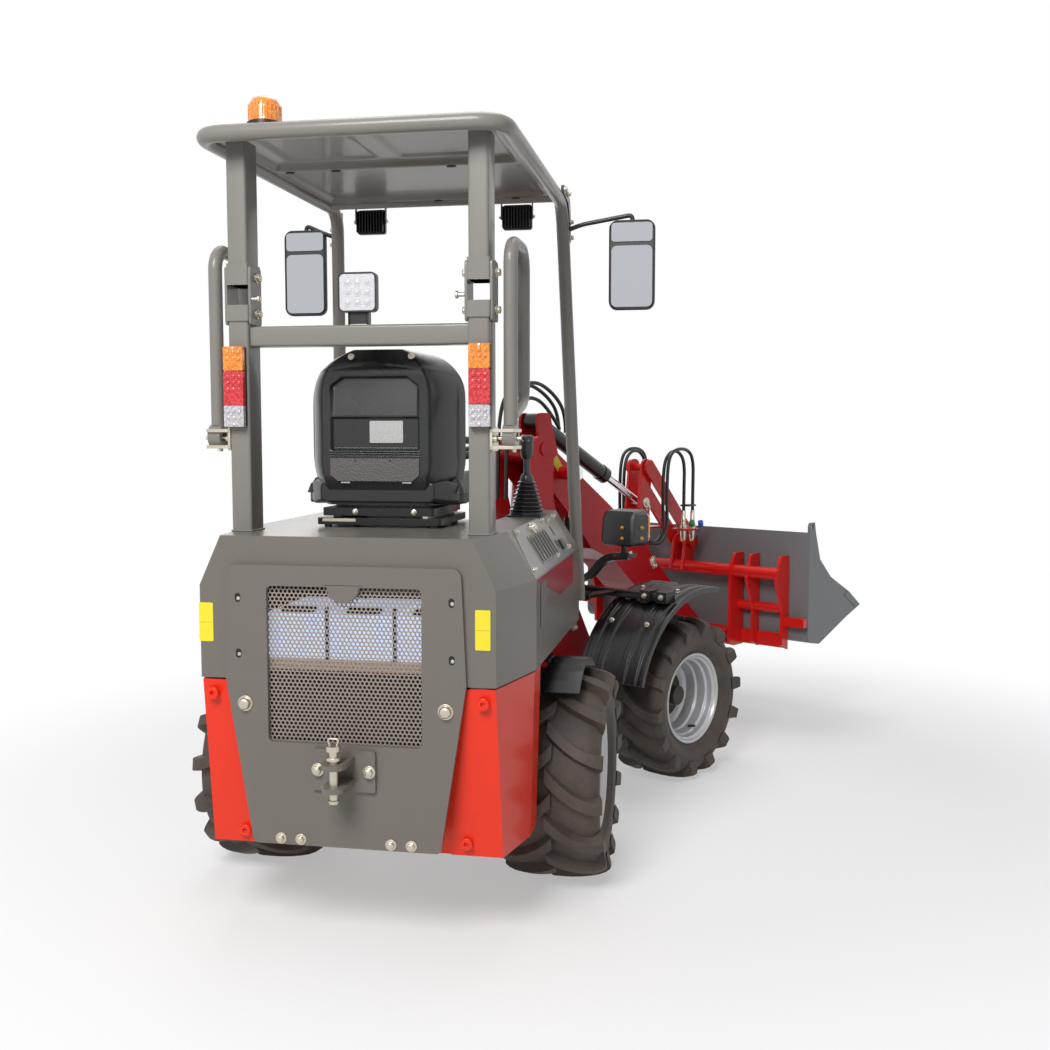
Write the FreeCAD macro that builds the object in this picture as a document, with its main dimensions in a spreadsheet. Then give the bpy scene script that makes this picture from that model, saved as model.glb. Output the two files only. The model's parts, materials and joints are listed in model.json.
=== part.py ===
import FreeCAD, Part
import math
import os
import Sketcher
from FreeCAD import Placement, Rotation, Vector

doc = FreeCAD.newDocument("WheelLoader")


# ---------------------------------------------------------------- driving dimensions

class Size(float):
    """A number that remembers the spreadsheet formula it comes from."""

    def __new__(cls, value, formula):
        made = super().__new__(cls, value)
        made.formula = formula
        return made

    def _join(self, other, sign, value, swap=False):
        mine, theirs = self.formula, getattr(other, "formula", repr(float(other)))
        left, right = (theirs, mine) if swap else (mine, theirs)
        return Size(value, f"({left} {sign} {right})")

    def __add__(self, other):
        return self._join(other, "+", float(self) + float(other))

    def __radd__(self, other):
        return self._join(other, "+", float(self) + float(other), True)

    def __sub__(self, other):
        return self._join(other, "-", float(self) - float(other))

    def __rsub__(self, other):
        return self._join(other, "-", float(other) - float(self), True)

    def __mul__(self, other):
        return self._join(other, "*", float(self) * float(other))

    def __rmul__(self, other):
        return self._join(other, "*", float(self) * float(other), True)

    def __truediv__(self, other):
        return self._join(other, "/", float(self) / float(other))

    def __neg__(self):
        return Size(-float(self), f"(-1 * {self.formula})")


DRIVING = (
    ("pivot_x", -200, "articulation pivot, from the origin"),
    ("pivot_y", 437, "articulation pivot, from the origin"),
    ("steer_rest", 31.4, "degrees the front frame is turned to the right"),
    ("rear_axle_x", -735, "rear axle, behind the pivot"),
    ("front_axle_x", 585, "front axle, ahead of the pivot"),
    ("tyre_radius", 292, "over the lugs"),
    ("carcass_radius", 270, "between the lugs"),
    ("bead_radius", 151, "tyre bore on the rim"),
    ("tyre_width", 216, "over the sidewalls"),
    ("track_outer", 572, "outer face of each tyre from the middle"),
    ("cover_rear", -1354, "rear face of the body cover"),
    ("cover_corner", -1130, "where the flared rear corner meets the flank"),
    ("cover_front", -335, "front end of the side consoles"),
    ("deck_height", 1005, "top of the body cover"),
    ("shoulder_height", 885, "where the flank turns in"),
    ("sill_height", 660, "lower edge of the body cover"),
    ("flank_half", 420, "half width over the flanks"),
    ("rear_half", 364, "half width of the rear face"),
    ("deck_half", 345, "half width of the deck"),
    ("deck_rear_half", 309, "half width of the deck's rear edge"),
    ("cover_wall", 6, "wall of the body cover"),
    ("well_rear", -760, "rear wall of the foot well"),
    ("well_half", 245, "half width of the foot well"),
    ("post_rear", -1247, "rear face of the roof posts"),
    ("post_depth", 78, "post section, fore and aft"),
    ("post_width", 52, "post section, across"),
    ("post_half", 327, "outer face of the posts"),
    ("fold_height", 1640, "where the upper posts fold"),
    ("roof_height", 1954, "middle of the roof tube"),
    ("roof_rear", -1307, "roof tube, rear"),
    ("roof_front", -340, "roof tube, front"),
    ("roof_half", 374, "roof tube, half width"),
    ("roof_tube", 20, "roof tube radius"),
    ("boom_x", 250, "boom pivot, ahead of the articulation"),
    ("boom_z", 1190, "boom pivot height"),
    ("nose_x", 1290, "tool carrier pivot"),
    ("nose_z", 396, "tool carrier pivot height"),
    ("lever_x", 960, "tilt lever pivot"),
    ("lever_z", 725, "tilt lever pivot height"),
    ("lever_lean", 30, "tilt lever, top pin ahead of its pivot"),
    ("lever_rise", 380, "tilt lever, top pin above its pivot"),
    ("boom_half", 87, "half width over the boom plates"),
    ("boom_plate", 12, "boom plate thickness"),
    ("bucket_half", 575, "half width of the bucket"),
)


class Sheet:
    """The spreadsheet of driving dimensions, read as attributes."""

    def __init__(self, rows):
        sheet = doc.addObject("Spreadsheet::Sheet", "Dims")
        for row, (alias, value, note) in enumerate(rows, 1):
            sheet.set(f"A{row}", alias)
            sheet.set(f"B{row}", str(value))
            sheet.setAlias(f"B{row}", alias)
            sheet.set(f"C{row}", note)
            setattr(self, alias, Size(value, f"Dims.{alias}"))
        doc.recompute()


S = Sheet(DRIVING)

REAR, FRONT = "rear frame", "front frame"
NODES = []


def bind(item, name, value):
    """Set a property, by formula where the value comes from the sheet."""
    if isinstance(value, Size):
        item.setExpression(name, value.formula)
    else:
        setattr(item, name, float(value))


def keep(item, label, frame):
    """Name a finished sub-part and stand it on its frame."""
    item.Label = label
    turn = S.steer_rest if frame == FRONT else 0
    item.Placement = Placement(Vector(S.pivot_x, S.pivot_y, 0), Rotation(Vector(0, 0, -1), float(turn)))
    item.setExpression("Placement.Base.x", S.pivot_x.formula)
    item.setExpression("Placement.Base.y", S.pivot_y.formula)
    if frame == FRONT:
        item.setExpression("Placement.Rotation.Angle", S.steer_rest.formula)
    NODES.append(item)
    return item


# ---------------------------------------------------------------- sketches and features

def rounded(points):
    """Edges of a closed outline. A point may carry a corner radius as its third number."""
    count = len(points)
    spots = [Vector(float(p[0]), float(p[1]), 0) for p in points]
    starts, ends, arcs = [], [], []
    for i, point in enumerate(points):
        radius = float(point[2]) if len(point) > 2 else 0.0
        here = spots[i]
        to_last = (spots[i - 1] - here).normalize()
        to_next = (spots[(i + 1) % count] - here).normalize()
        if radius == 0:
            starts.append(here)
            ends.append(here)
            arcs.append(None)
            continue
        half = to_last.getAngle(to_next) / 2
        reach = radius / math.tan(half)
        middle = here + (to_last + to_next).normalize() * (radius / math.sin(half))
        crown = middle + (here - middle).normalize() * radius
        starts.append(here + to_last * reach)
        ends.append(here + to_next * reach)
        arcs.append(crown)
    edges = []
    for i in range(count):
        if arcs[i] is not None:
            edges.append(Part.Arc(starts[i], arcs[i], ends[i]))
        following = (i + 1) % count
        if (starts[following] - ends[i]).Length > 1e-6:
            edges.append(Part.LineSegment(ends[i], starts[following]))
    return edges


def draw(sketch, loop):
    """Add one closed loop to a sketch: a circle (x, y, r) or a list of points."""
    if isinstance(loop, tuple):
        x, y, radius = loop
        first = sketch.addGeometry(Part.Circle(Vector(float(x), float(y), 0), Vector(0, 0, 1), float(radius)))
        for kind, value, part in (("DistanceX", x, 3), ("DistanceY", y, 3)):
            if isinstance(value, Size):
                spot = sketch.addConstraint(Sketcher.Constraint(kind, -1, 1, first, part, float(value)))
                sketch.setExpression(f"Constraints[{spot}]", value.formula)
        if isinstance(radius, Size):
            spot = sketch.addConstraint(Sketcher.Constraint("Radius", first, float(radius)))
            sketch.setExpression(f"Constraints[{spot}]", radius.formula)
        return
    first = sketch.GeometryCount
    sketch.addGeometry(rounded(loop))
    if any(len(p) > 2 for p in loop):
        return
    count = len(loop)
    for i in range(count):
        sketch.addConstraint(Sketcher.Constraint("Coincident", first + i, 2, first + (i + 1) % count, 1))
    for i, point in enumerate(loop):
        for kind, value in (("DistanceX", point[0]), ("DistanceY", point[1])):
            if isinstance(value, Size):
                spot = sketch.addConstraint(Sketcher.Constraint(kind, -1, 1, first + i, 1, float(value)))
                sketch.setExpression(f"Constraints[{spot}]", value.formula)


def new_body():
    return doc.addObject("PartDesign::Body", "Body")


def sketch_on(body, plane, loops, height):
    """A sketch on one of the body's own planes, moved along that plane's axis to a height."""
    sketch = body.newObject("Sketcher::SketchObject", "Sketch")
    role = {"XY": "XY_Plane", "XZ": "XZ_Plane", "YZ": "YZ_Plane"}[plane]
    origin = [f for f in body.Origin.OriginFeatures if f.Role == role][0]
    sketch.AttachmentSupport = [(origin, "")]
    sketch.MapMode = "FlatFace"
    shift = -height if plane == "XZ" else height
    sketch.AttachmentOffset = Placement(Vector(0, 0, float(shift)), Rotation())
    if isinstance(shift, Size):
        sketch.setExpression("AttachmentOffset.Base.z", shift.formula)
    for loop in loops:
        draw(sketch, loop)
    return sketch


def pad(body, plane, loops, low, high):
    """Pad an outline between two heights on the plane's axis."""
    feature = body.newObject("PartDesign::Pad", "Pad")
    feature.Profile = sketch_on(body, plane, loops, high if plane == "XZ" else low)
    bind(feature, "Length", high - low)
    return feature


def pocket(body, plane, loops, low, high):
    """Cut an outline out of the body between two heights on the plane's axis."""
    feature = body.newObject("PartDesign::Pocket", "Pocket")
    feature.Profile = sketch_on(body, plane, loops, high if plane == "XZ" else low)
    bind(feature, "Length", high - low)
    feature.Reversed = True
    return feature


def rect(x0, x1, y0, y1, corner=0):
    """A rectangle's outline, with round corners where a radius is given."""
    spots = [(x0, y0), (x1, y0), (x1, y1), (x0, y1)]
    return [(*p, corner) for p in spots] if corner else spots


def block(body, x, y, z, corner=0):
    """A rectangular block given by its low and high places on each axis."""
    return pad(body, "XY", [rect(x[0], x[1], y[0], y[1], corner)], z[0], z[1])


def sides(inner, outer):
    """The low and high places of a piece and of its mirror image."""
    return ((inner, outer), (-outer, -inner))


def bar(a, b, radius):
    """A round bar from one point to another."""
    a, b = Vector(*map(float, a)), Vector(*map(float, b))
    made = doc.addObject("Part::Cylinder", "Bar")
    bind(made, "Radius", radius)
    made.Height = (b - a).Length
    made.Placement = Placement(a, Rotation(Vector(0, 0, 1), b - a))
    return made


def route(points, bend):
    """A wire of straight runs joined by tangent arcs. A bend of None sizes each arc by its runs."""
    spots = [Vector(*map(float, p)) for p in points]
    edges, last = [], spots[0]
    radii = []
    for before, here, after in zip(spots, spots[1:], spots[2:]):
        back, ahead = before - here, after - here
        half = back.getAngle(ahead) / 2
        shorter = min(back.Length, ahead.Length)
        radius = bend if bend else 0.45 * shorter * math.tan(half)
        radii.append(radius)
        reach = radius / math.tan(half)
        back.normalize()
        ahead.normalize()
        middle = here + (back + ahead).normalize() * (radius / math.sin(half))
        crown = middle + (here - middle).normalize() * radius
        start, end = here + back * reach, here + ahead * reach
        if (start - last).Length > 1e-6:
            edges.append(Part.LineSegment(last, start).toShape())
        edges.append(Part.Arc(start, crown, end).toShape())
        last = end
    edges.append(Part.LineSegment(last, spots[-1]).toShape())
    return Part.Wire(edges), radii


def tube(points, radius, bend=None):
    """A round tube or hose along a route."""
    path, radii = route(points, bend)
    start = path.Edges[0]
    section = Part.Circle(start.valueAt(start.FirstParameter), start.tangentAt(start.FirstParameter), float(radius))
    made = doc.addObject("Part::Feature", "Tube")
    made.Shape = path.makePipeShell([Part.Wire([section.toShape()])], True, True)
    return made, radii


def fuse(items):
    made = doc.addObject("Part::MultiFuse", "Fused")
    made.Shapes = items
    return made


def gather(items):
    """Pieces that share a node without touching."""
    made = doc.addObject("Part::Compound", "Pieces")
    made.Links = items
    return made


def cut(base, tool):
    made = doc.addObject("Part::Cut", "Cut")
    made.Base = base
    made.Tool = tool
    return made


def box(x, y, z):
    made = doc.addObject("Part::Box", "Block")
    for name, (low, high) in zip(("Length", "Width", "Height"), (x, y, z)):
        bind(made, name, high - low)
    made.Placement = Placement(Vector(float(x[0]), float(y[0]), float(z[0])), Rotation())
    for axis, (low, high) in zip("xyz", (x, y, z)):
        if isinstance(low, Size):
            made.setExpression(f"Placement.Base.{axis}", low.formula)
    return made


def revolve(body, loops, axis="V", plane="XY"):
    """Turn an outline about the sketch's vertical or horizontal axis."""
    sketch = sketch_on(body, plane, loops, 0)
    feature = body.newObject("PartDesign::Revolution", "Turned")
    feature.Profile = sketch
    feature.ReferenceAxis = (sketch, ["V_Axis" if axis == "V" else "H_Axis"])
    feature.Angle = 360
    return feature


# ---------------------------------------------------------------- rear frame

PIN, PIN_GAP = 24, 0.3
EARS_REAR = ((355, 380), (520, 545))
EARS_FRONT = ((385, 410), (490, 515))


def ear_outline(reach, root, nose, direction):
    """A tapered ear with a round nose about the pivot."""
    far = direction * reach
    return [(far, -root), (far, root), (direction * 20, nose), (-direction * nose, nose, nose * 0.95),
            (-direction * nose, -nose, nose * 0.95), (direction * 20, -nose)]


def make_rear_chassis():
    body = new_body()
    rail = [(-1330, 345), (-1330, 600), (-330, 600), (-200, 560), (-200, 345)]
    for low, high in sides(118, 132):
        pad(body, "XZ", [rail], low, high)
    for x in (-1330, -1010, -450):
        block(body, (x, x + 12), (-118, 118), (400, 590))
    block(body, (-212, -200), (-132, 132), (345, 560))
    for low, high in EARS_REAR:
        pad(body, "XY", [ear_outline(205, 116, 50, -1)], low, high)
    pad(body, "XY", [(0, 0, PIN)], 340, 562)
    for low, high in ((390, 399), (451, 460)):
        block(body, (-440, -400), (132, 238), (low, high))
    pad(body, "XY", [(STEER_BACK[0], STEER_BACK[1], 10)], 390, 460)
    keep(body, "rear_chassis", REAR)


def make_axle(label, frame, axle_x, saddle_top):
    """Axle beam with its drive housing and hubs."""
    body = new_body()
    z = S.tyre_radius
    pad(body, "XZ", [(axle_x, z, 48)], -300, 300)
    pad(body, "XZ", [(axle_x, z, 92)], -95, 95)
    for low, high in sides(300, 424):
        pad(body, "XZ", [(axle_x, z, 82)], low, high)
    for low, high in sides(424, 474):
        pad(body, "XZ", [(axle_x, z, 34.7)], low, high)
    for low, high in sides(100, 150):
        pad(body, "XZ", [rect(axle_x - 60, axle_x + 60, z - 30, saddle_top)], low, high)
    keep(body, label, frame)


def make_battery():
    body = new_body()
    block(body, (-1320, -800), (-160, 160), (600, 770))
    for middle in (-107, 0, 107):
        block(body, (-1310, -810), (middle - 50, middle + 50), (770, 885))
    keep(body, "battery_pack", REAR)


def cover_section(inset, at):
    """Half-hexagon section of the body cover at the rear face or at the flank."""
    flank = S.rear_half if at == "rear" else S.flank_half
    deck = S.deck_rear_half if at == "rear" else S.deck_half
    foot = S.sill_height if inset == 0 else S.sill_height - 40
    right = [(flank - inset, foot), (flank - inset, S.shoulder_height - inset / 2), (deck - inset, S.deck_height - inset)]
    left = [(-y, z) for y, z in reversed(right)]
    return right + left


def loft(sections):
    """A ruled solid through outlines that stand across the machine."""
    wires = []
    for x, outline in sections:
        holder = doc.addObject("Sketcher::SketchObject", "Section")
        holder.Placement = Placement(Vector(float(x), 0, 0), Rotation(Vector(1, 1, 1), 120))
        if isinstance(x, Size):
            holder.setExpression("Placement.Base.x", x.formula)
        draw(holder, outline)
        wires.append(holder)
    made = doc.addObject("Part::Loft", "Loft")
    made.Sections = wires
    made.Solid = True
    made.Ruled = True
    return made


def make_body_cover():
    w = S.cover_wall
    outer = loft([(S.cover_rear, cover_section(0, "rear")), (S.cover_corner, cover_section(0, "flank")),
                  (S.cover_front, cover_section(0, "flank"))])
    inner = loft([(S.cover_rear + w, cover_section(w, "rear")), (S.cover_corner, cover_section(w, "flank")),
                  (S.cover_front - w, cover_section(w, "flank"))])
    well_walls = box((S.well_rear - w, S.cover_front + 20), (-S.well_half - w, S.well_half + w), (600, 1100))
    well = box((S.well_rear, S.cover_front + 40), (-S.well_half, S.well_half), (580, 1120))
    shell = cut(cut(outer, cut(inner, well_walls)), well)
    window = box((S.cover_rear - 10, S.cover_rear + 20), (-200, 200), (640, 896))
    keep(cut(shell, window), "body_cover", REAR)


def make_side_boxes():
    boxes = []
    for side in (1, -1):
        body = new_body()
        sections = []
        for height, rear, inner, corner, flank in ((235, -1292, 240, 368, 405), (655, -1350, 300, 362, 416)):
            outline = [(rear, side * inner), (rear, side * corner), (S.cover_corner, side * flank), (-1043, side * flank),
                       (-1043, side * inner)]
            sections.append(sketch_on(body, "XY", [outline], height))
        box_loft = body.newObject("PartDesign::AdditiveLoft", "SideBox")
        box_loft.Profile = sections[0]
        box_loft.Sections = sections[1:]
        box_loft.Ruled = True
        boxes.append(body)
    keep(gather(boxes), "side_boxes", REAR)


def make_rear_plate():
    body = new_body()
    outline = [(232, 262, 12), (296, 665, 40), (284, 937, 22), (-284, 937, 22), (-296, 665, 40), (-232, 262, 12)]
    pad(body, "YZ", [outline], S.cover_rear - 12, S.cover_rear)
    window = [(-190, 512, 12), (190, 512, 12), (190, 888, 12), (32, 888), (28, 864, 14), (-28, 864, 14),
              (-32, 888), (-190, 888, 12)]
    pocket(body, "YZ", [window], S.cover_rear - 20, S.cover_rear + 10)
    keep(body, "rear_plate", REAR)


def make_grille():
    body = new_body()
    pad(body, "YZ", [rect(-196, 196, 506, 894)], S.cover_rear + 1, S.cover_rear + 4)
    keep(body, "grille", REAR)


TOW_X, TOW_BORE = -1443, 10.4


def make_tow_bracket():
    body = new_body()
    back = S.cover_rear - 12
    pad(body, "YZ", [rect(-78, 78, 403, 503, 8)], back - 10, back)
    for low in (424, 478):
        ear = [(-1376, -28), (-1376, 28), (TOW_X - 28, 28, 26), (TOW_X - 28, -28, 26)]
        pad(body, "XY", [ear], low, low + 12)
    pocket(body, "XY", [(TOW_X, 0, TOW_BORE)], 400, 520)
    keep(body, "tow_bracket", REAR)
    pin = new_body()
    pad(pin, "XY", [(TOW_X, 0, 10)], 405, 520)
    pad(pin, "XY", [(TOW_X, 0, 17)], 520, 532)
    keep(pin, "tow_pin", REAR)


def post_rect():
    return (S.post_rear, S.post_rear + S.post_depth)


LEG_TOP, LEG_KNEE, LEG_TUBE = Vector(-350, 374, 1934), Vector(-290, 378, 1700), 21


def make_rops():
    lower = new_body()
    x0, x1 = post_rect()
    for low, high in sides(S.post_half - S.post_width, S.post_half):
        block(lower, (x0, x1), (low, high), (S.deck_height, S.fold_height), 8)
        block(lower, (x0 - 20, x1 + 20), (low - 8, high + 8), (S.deck_height, S.deck_height + 8), 6)
    inner = S.post_half - S.post_width
    pad(lower, "XZ", [rect(x0 + 14, x0 + 64, 1460, 1510, 6)], -inner, inner)
    keep(lower, "rops_lower", REAR)

    hinges = new_body()
    for low, high in sides(S.post_half, S.post_half + 8):
        pad(hinges, "XZ", [rect(x0 + 6, x1 - 6, 1560, 1720, 8)], low, high)
    for low, high in sides(inner - 8, inner):
        pad(hinges, "XZ", [rect(x0 + 6, x1 - 6, 1560, 1720, 8)], low, high)
    keep(hinges, "rops_hinges", REAR)

    top = new_body()
    for low, high in sides(inner, S.post_half):
        block(top, (x0, x1), (low, high), (S.fold_height + 14, S.roof_height), 8)
    pad(top, "XZ", [(x0 + 39, S.roof_height, 20)], -S.roof_half, S.roof_half)
    rear, front, half, z = S.roof_rear, S.roof_front, S.roof_half, S.roof_height
    loop = Part.Wire([e.toShape() for e in rounded(rect(rear, front, -half, half, 60))])
    loop.translate(Vector(0, 0, float(z)))
    start = Vector(float(rear), 0, float(z))
    ring = doc.addObject("Part::Feature", "RoofTube")
    pieces = [Vector(float(rear), 0, float(z))]
    section = Part.Wire([Part.Circle(loop.Edges[0].valueAt(loop.Edges[0].FirstParameter),
                                     loop.Edges[0].tangentAt(loop.Edges[0].FirstParameter),
                                     float(S.roof_tube)).toShape()])
    ring.Shape = loop.makePipeShell([section], True, True)
    legs = []
    for side in (1, -1):
        turned = [Vector(p.x, p.y * side, p.z) for p in (LEG_TOP, LEG_KNEE)]
        leg, _ = tube([(front - 120, side * half, z)] + turned + [(-242, side * 385, 1081), (-232, side * 400, 690)],
                      LEG_TUBE, 60)
        legs.append(leg)
    keep(fuse([top, ring] + legs), "rops_upper", REAR)


def make_roof_panel():
    body = new_body()
    t = S.roof_tube + 0.3
    pad(body, "XY", [rect(S.roof_rear + t, S.roof_front - t, -S.roof_half + t, S.roof_half - t, 36)], 1975, 1981)
    keep(body, "roof_panel", REAR)


def make_beacon():
    base = new_body()
    pad(base, "XY", [(-1245, 222, 40)], 1981, 1992)
    pad(base, "XY", [(-1245, 222, 44)], 1992, 2056)
    keep(base, "beacon", REAR)


def make_lamps():
    tail = new_body()
    for low, high in sides(S.post_half - S.post_width + 4, S.post_half - 4):
        block(tail, (S.post_rear - 26, S.post_rear), (low, high), (1258, 1452), 6)
    keep(tail, "tail_lamps", REAR)

    rear = new_body()
    block(rear, (-1215, -1170), (-45, 52), (1536, 1633), 8)
    block(rear, (-1205, -1185), (-10, 15), (1510, 1536))
    keep(rear, "work_lamp_rear", REAR)

    ahead = new_body()
    for low, high in sides(185, 280):
        block(ahead, (-415, -372), (low, high), (1886, 1970), 6)
    keep(ahead, "work_lamps_front", REAR)


def make_mirrors():
    """Mirror heads on arms coped to the legs' tubes, round to the tube."""
    arms = []
    for side, low, high in ((1, 405, 545), (-1, -650, -508)):
        head = new_body()
        pad(head, "YZ", [rect(low, high, 1625, 1898, 30)], -335, -300)
        middle = (low + high) / 2
        root = LEG_TOP + (LEG_KNEE - LEG_TOP) * 0.25
        root = Vector(root.x, root.y * side, root.z)
        arm, _ = tube([root, root + Vector(0, side * 50, 30), (-318, middle, 1925), (-318, middle, 1880)], 7)
        leg = bar(Vector(LEG_TOP.x, LEG_TOP.y * side, LEG_TOP.z), Vector(LEG_KNEE.x, LEG_KNEE.y * side, LEG_KNEE.z), LEG_TUBE)
        arms.append(fuse([head, cut(arm, leg)]))
    keep(gather(arms), "mirrors", REAR)


def make_seat():
    base = new_body()
    block(base, (-1090, -800), (-170, 170), (S.deck_height, 1060), 10)
    keep(base, "seat_base", REAR)
    cushion = new_body()
    block(cushion, (-1040, -650), (-215, 215), (1062, 1150), 60)
    keep(cushion, "seat_cushion", REAR)
    back = new_body()
    side = [(-1090, 1063), (-1115, 1130), (-1118, 1400, 40), (-1095, 1462, 30), (-1010, 1450, 40), (-960, 1180),
            (-1045, 1155), (-1045, 1063)]
    pad(back, "XZ", [side], -210, 210)
    keep(back, "seat_back", REAR)


def make_controls():
    column = bar((-390, 0, 628), (-470, 0, 1150), 26)
    keep(cut(column, box((-450, -330), (-40, 40), (600, 628))), "steering_column", REAR)
    wheel = doc.addObject("Part::Torus", "Rim")
    wheel.Radius1 = 165
    wheel.Radius2 = 12
    lean = Rotation(Vector(0, 1, 0), -9)
    centre = Vector(-478, 0, 1200)
    wheel.Placement = Placement(centre, lean)
    spokes = [bar(centre, centre + lean.multVec(Vector(160 * math.cos(a), 160 * math.sin(a), 0)), 8)
              for a in (math.radians(d) for d in (90, 210, 330))]
    hub = bar((-470.6, 0, 1154), (-478.5, 0, 1206), 30)
    keep(fuse([wheel, hub] + spokes), "steering_wheel", REAR)

    stick = new_body()
    pad(stick, "XY", [(-600, -300, 48)], 1005.5, 1030)
    pad(stick, "XY", [(-600, -300, 34)], 1030, 1130)
    pad(stick, "XY", [(-600, -300, 9)], 1130, 1200)
    pad(stick, "XY", [(-600, -300, 22)], 1200, 1245)
    keep(stick, "joystick", REAR)

    floor = new_body()
    block(floor, (-758, -330), (-243, 243), (620, 628))
    for y in (-150, 90):
        pad(floor, "XZ", [[(-430, 628), (-420, 628), (-380, 700), (-390, 704)]], y, y + 60)
    keep(floor, "floor_plate", REAR)


def make_rear_fenders():
    body = new_body()
    outline = fender_outline(float(S.rear_axle_x), 318, 322, 40, 125)
    for low, high in sides(395, 500):
        pad(body, "XZ", [outline], low, high)
    for low, high in sides(200, 396):
        block(body, (-790, -680), (low, high), (611, 616))
    keep(body, "rear_fenders", REAR)


def fender_outline(axle, inner, outer, first, last, steps=10):
    """A band about the axle between two angles, in degrees from straight ahead."""
    angles = [math.radians(first + (last - first) * i / steps) for i in range(steps + 1)]
    z = float(S.tyre_radius)
    far = [(axle + outer * math.cos(a), z + outer * math.sin(a)) for a in angles]
    near = [(axle + inner * math.cos(a), z + inner * math.sin(a)) for a in reversed(angles)]
    return far + near


BAR_X, BAR_Z, BAR_Y = -1215, 1240, 372


def make_safety_bars():
    brackets = new_body()
    for low, high in sides(S.post_half, S.post_half + 18):
        block(brackets, (BAR_X - 35, BAR_X + 45), (low, high), (1205, 1275), 8)
    for low, high in sides(S.post_half + 18, S.post_half + 70):
        pad(brackets, "XZ", [(BAR_X, BAR_Z, 12)], low, high)
    keep(brackets, "bar_brackets", REAR)
    for name, side in (("left", 1), ("right", -1)):
        y = side * BAR_Y
        loop, _ = tube([(BAR_X, y, BAR_Z + 27), (BAR_X, y, 1700), (BAR_X + 165, y, 1700), (BAR_X + 165, y, 1330),
                        (BAR_X + 10, y, 1290)], 17, 50)
        eye = new_body()
        pad(eye, "XZ", [(BAR_X, BAR_Z, 30), (BAR_X, BAR_Z, 12.3)], y - 16, y + 16)
        keep(fuse([loop, eye]), f"safety_bar_{name}", REAR)


# ---------------------------------------------------------------- wheels

LUGS = 14


def wheel_sketch(body, loops, axle_x):
    """A sketch through the axle: across is the machine's Y, up is the radius."""
    sketch = sketch_on(body, "YZ", loops, axle_x)
    offset = sketch.AttachmentOffset
    sketch.AttachmentOffset = Placement(Vector(0, float(S.tyre_radius), offset.Base.z), Rotation())
    sketch.setExpression("AttachmentOffset.Base.y", S.tyre_radius.formula)
    return sketch


def turn_about_axle(body, loops, axle_x):
    sketch = wheel_sketch(body, loops, axle_x)
    feature = body.newObject("PartDesign::Revolution", "Turned")
    feature.Profile = sketch
    feature.ReferenceAxis = (sketch, ["H_Axis"])
    feature.Angle = 360
    return sketch


def make_tyre(name, frame, axle_x, side):
    body = new_body()
    top, low = side * S.track_outer, side * (S.track_outer - S.tyre_width)
    c, b = S.carcass_radius, S.bead_radius
    profile = [(low + side * 8, b + 0.3), (low, b + 34), (low + side * 6, c - 42), (low + side * 26, c - 8),
               (low + side * 108, c), (top - side * 26, c - 8), (top - side * 6, c - 42), (top, b + 34),
               (top - side * 8, b + 0.3)]
    sketch = turn_about_axle(body, [profile], axle_x)
    middle = side * float(S.track_outer - S.tyre_width / 2)
    root = c - 46
    for hand, phase in ((1, 0), (-1, 180 / LUGS)):
        near, far = middle - hand * 8, middle + hand * 105
        outline = [(-4, near), (26, near), (-22, far), (-54, far)]
        lug = pad(body, "XY", [outline], 0, 304 - root)
        angle = math.radians(phase)
        seat = Vector(axle_x + root * math.sin(angle), 0, S.tyre_radius + root * math.cos(angle))
        lug.Profile[0].AttachmentOffset = Placement(seat, Rotation(Vector(0, 1, 0), phase))
        pattern = body.newObject("PartDesign::PolarPattern", "LugRow")
        pattern.Originals = [lug]
        pattern.Axis = (sketch, ["H_Axis"])
        pattern.Angle = 360
        pattern.Occurrences = LUGS
        body.Tip = pattern
    r, reach = S.tyre_radius, side * 130
    trim = body.newObject("PartDesign::Groove", "LugTops")
    around = wheel_sketch(body, [[(middle - reach, r), (middle - reach, r + 30), (middle + reach, r + 30), (middle + reach, r)]],
                          axle_x)
    trim.Profile = around
    trim.ReferenceAxis = (around, ["H_Axis"])
    trim.Angle = 360
    keep(body, f"tyre_{name}", frame)


def make_rim(name, frame, axle_x, side):
    body = new_body()
    top, low = side * S.track_outer, side * (S.track_outer - S.tyre_width)
    b = S.bead_radius
    barrel = [(low + side * 10, b - 9), (low + side * 10, b), (top - side * 10, b), (top - side * 10, b - 9)]
    turn_about_axle(body, [barrel], axle_x)
    disc = [(side * 430, 35), (side * 430, b - 5), (side * 440, b - 5), (side * 440, 35)]
    turn_about_axle(body, [disc], axle_x)
    keep(body, f"rim_{name}", frame)


def make_wheels():
    for name, frame, axle_x in (("rear", REAR, S.rear_axle_x), ("front", FRONT, S.front_axle_x)):
        for hand, side in (("left", 1), ("right", -1)):
            make_tyre(f"{name}_{hand}", frame, axle_x, side)
            make_rim(f"{name}_{hand}", frame, axle_x, side)


# ---------------------------------------------------------------- front frame

LIFT_LOW, LIFT_EYE, LIFT_Y = (330, 560), (380, 1100), 150
TILT_BACK, TILT_PIN = (330, 1290), (979, 961)
STEER_BACK, STEER_EYE, STEER_Z = (-420, 215), (80, 170), 425


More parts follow.
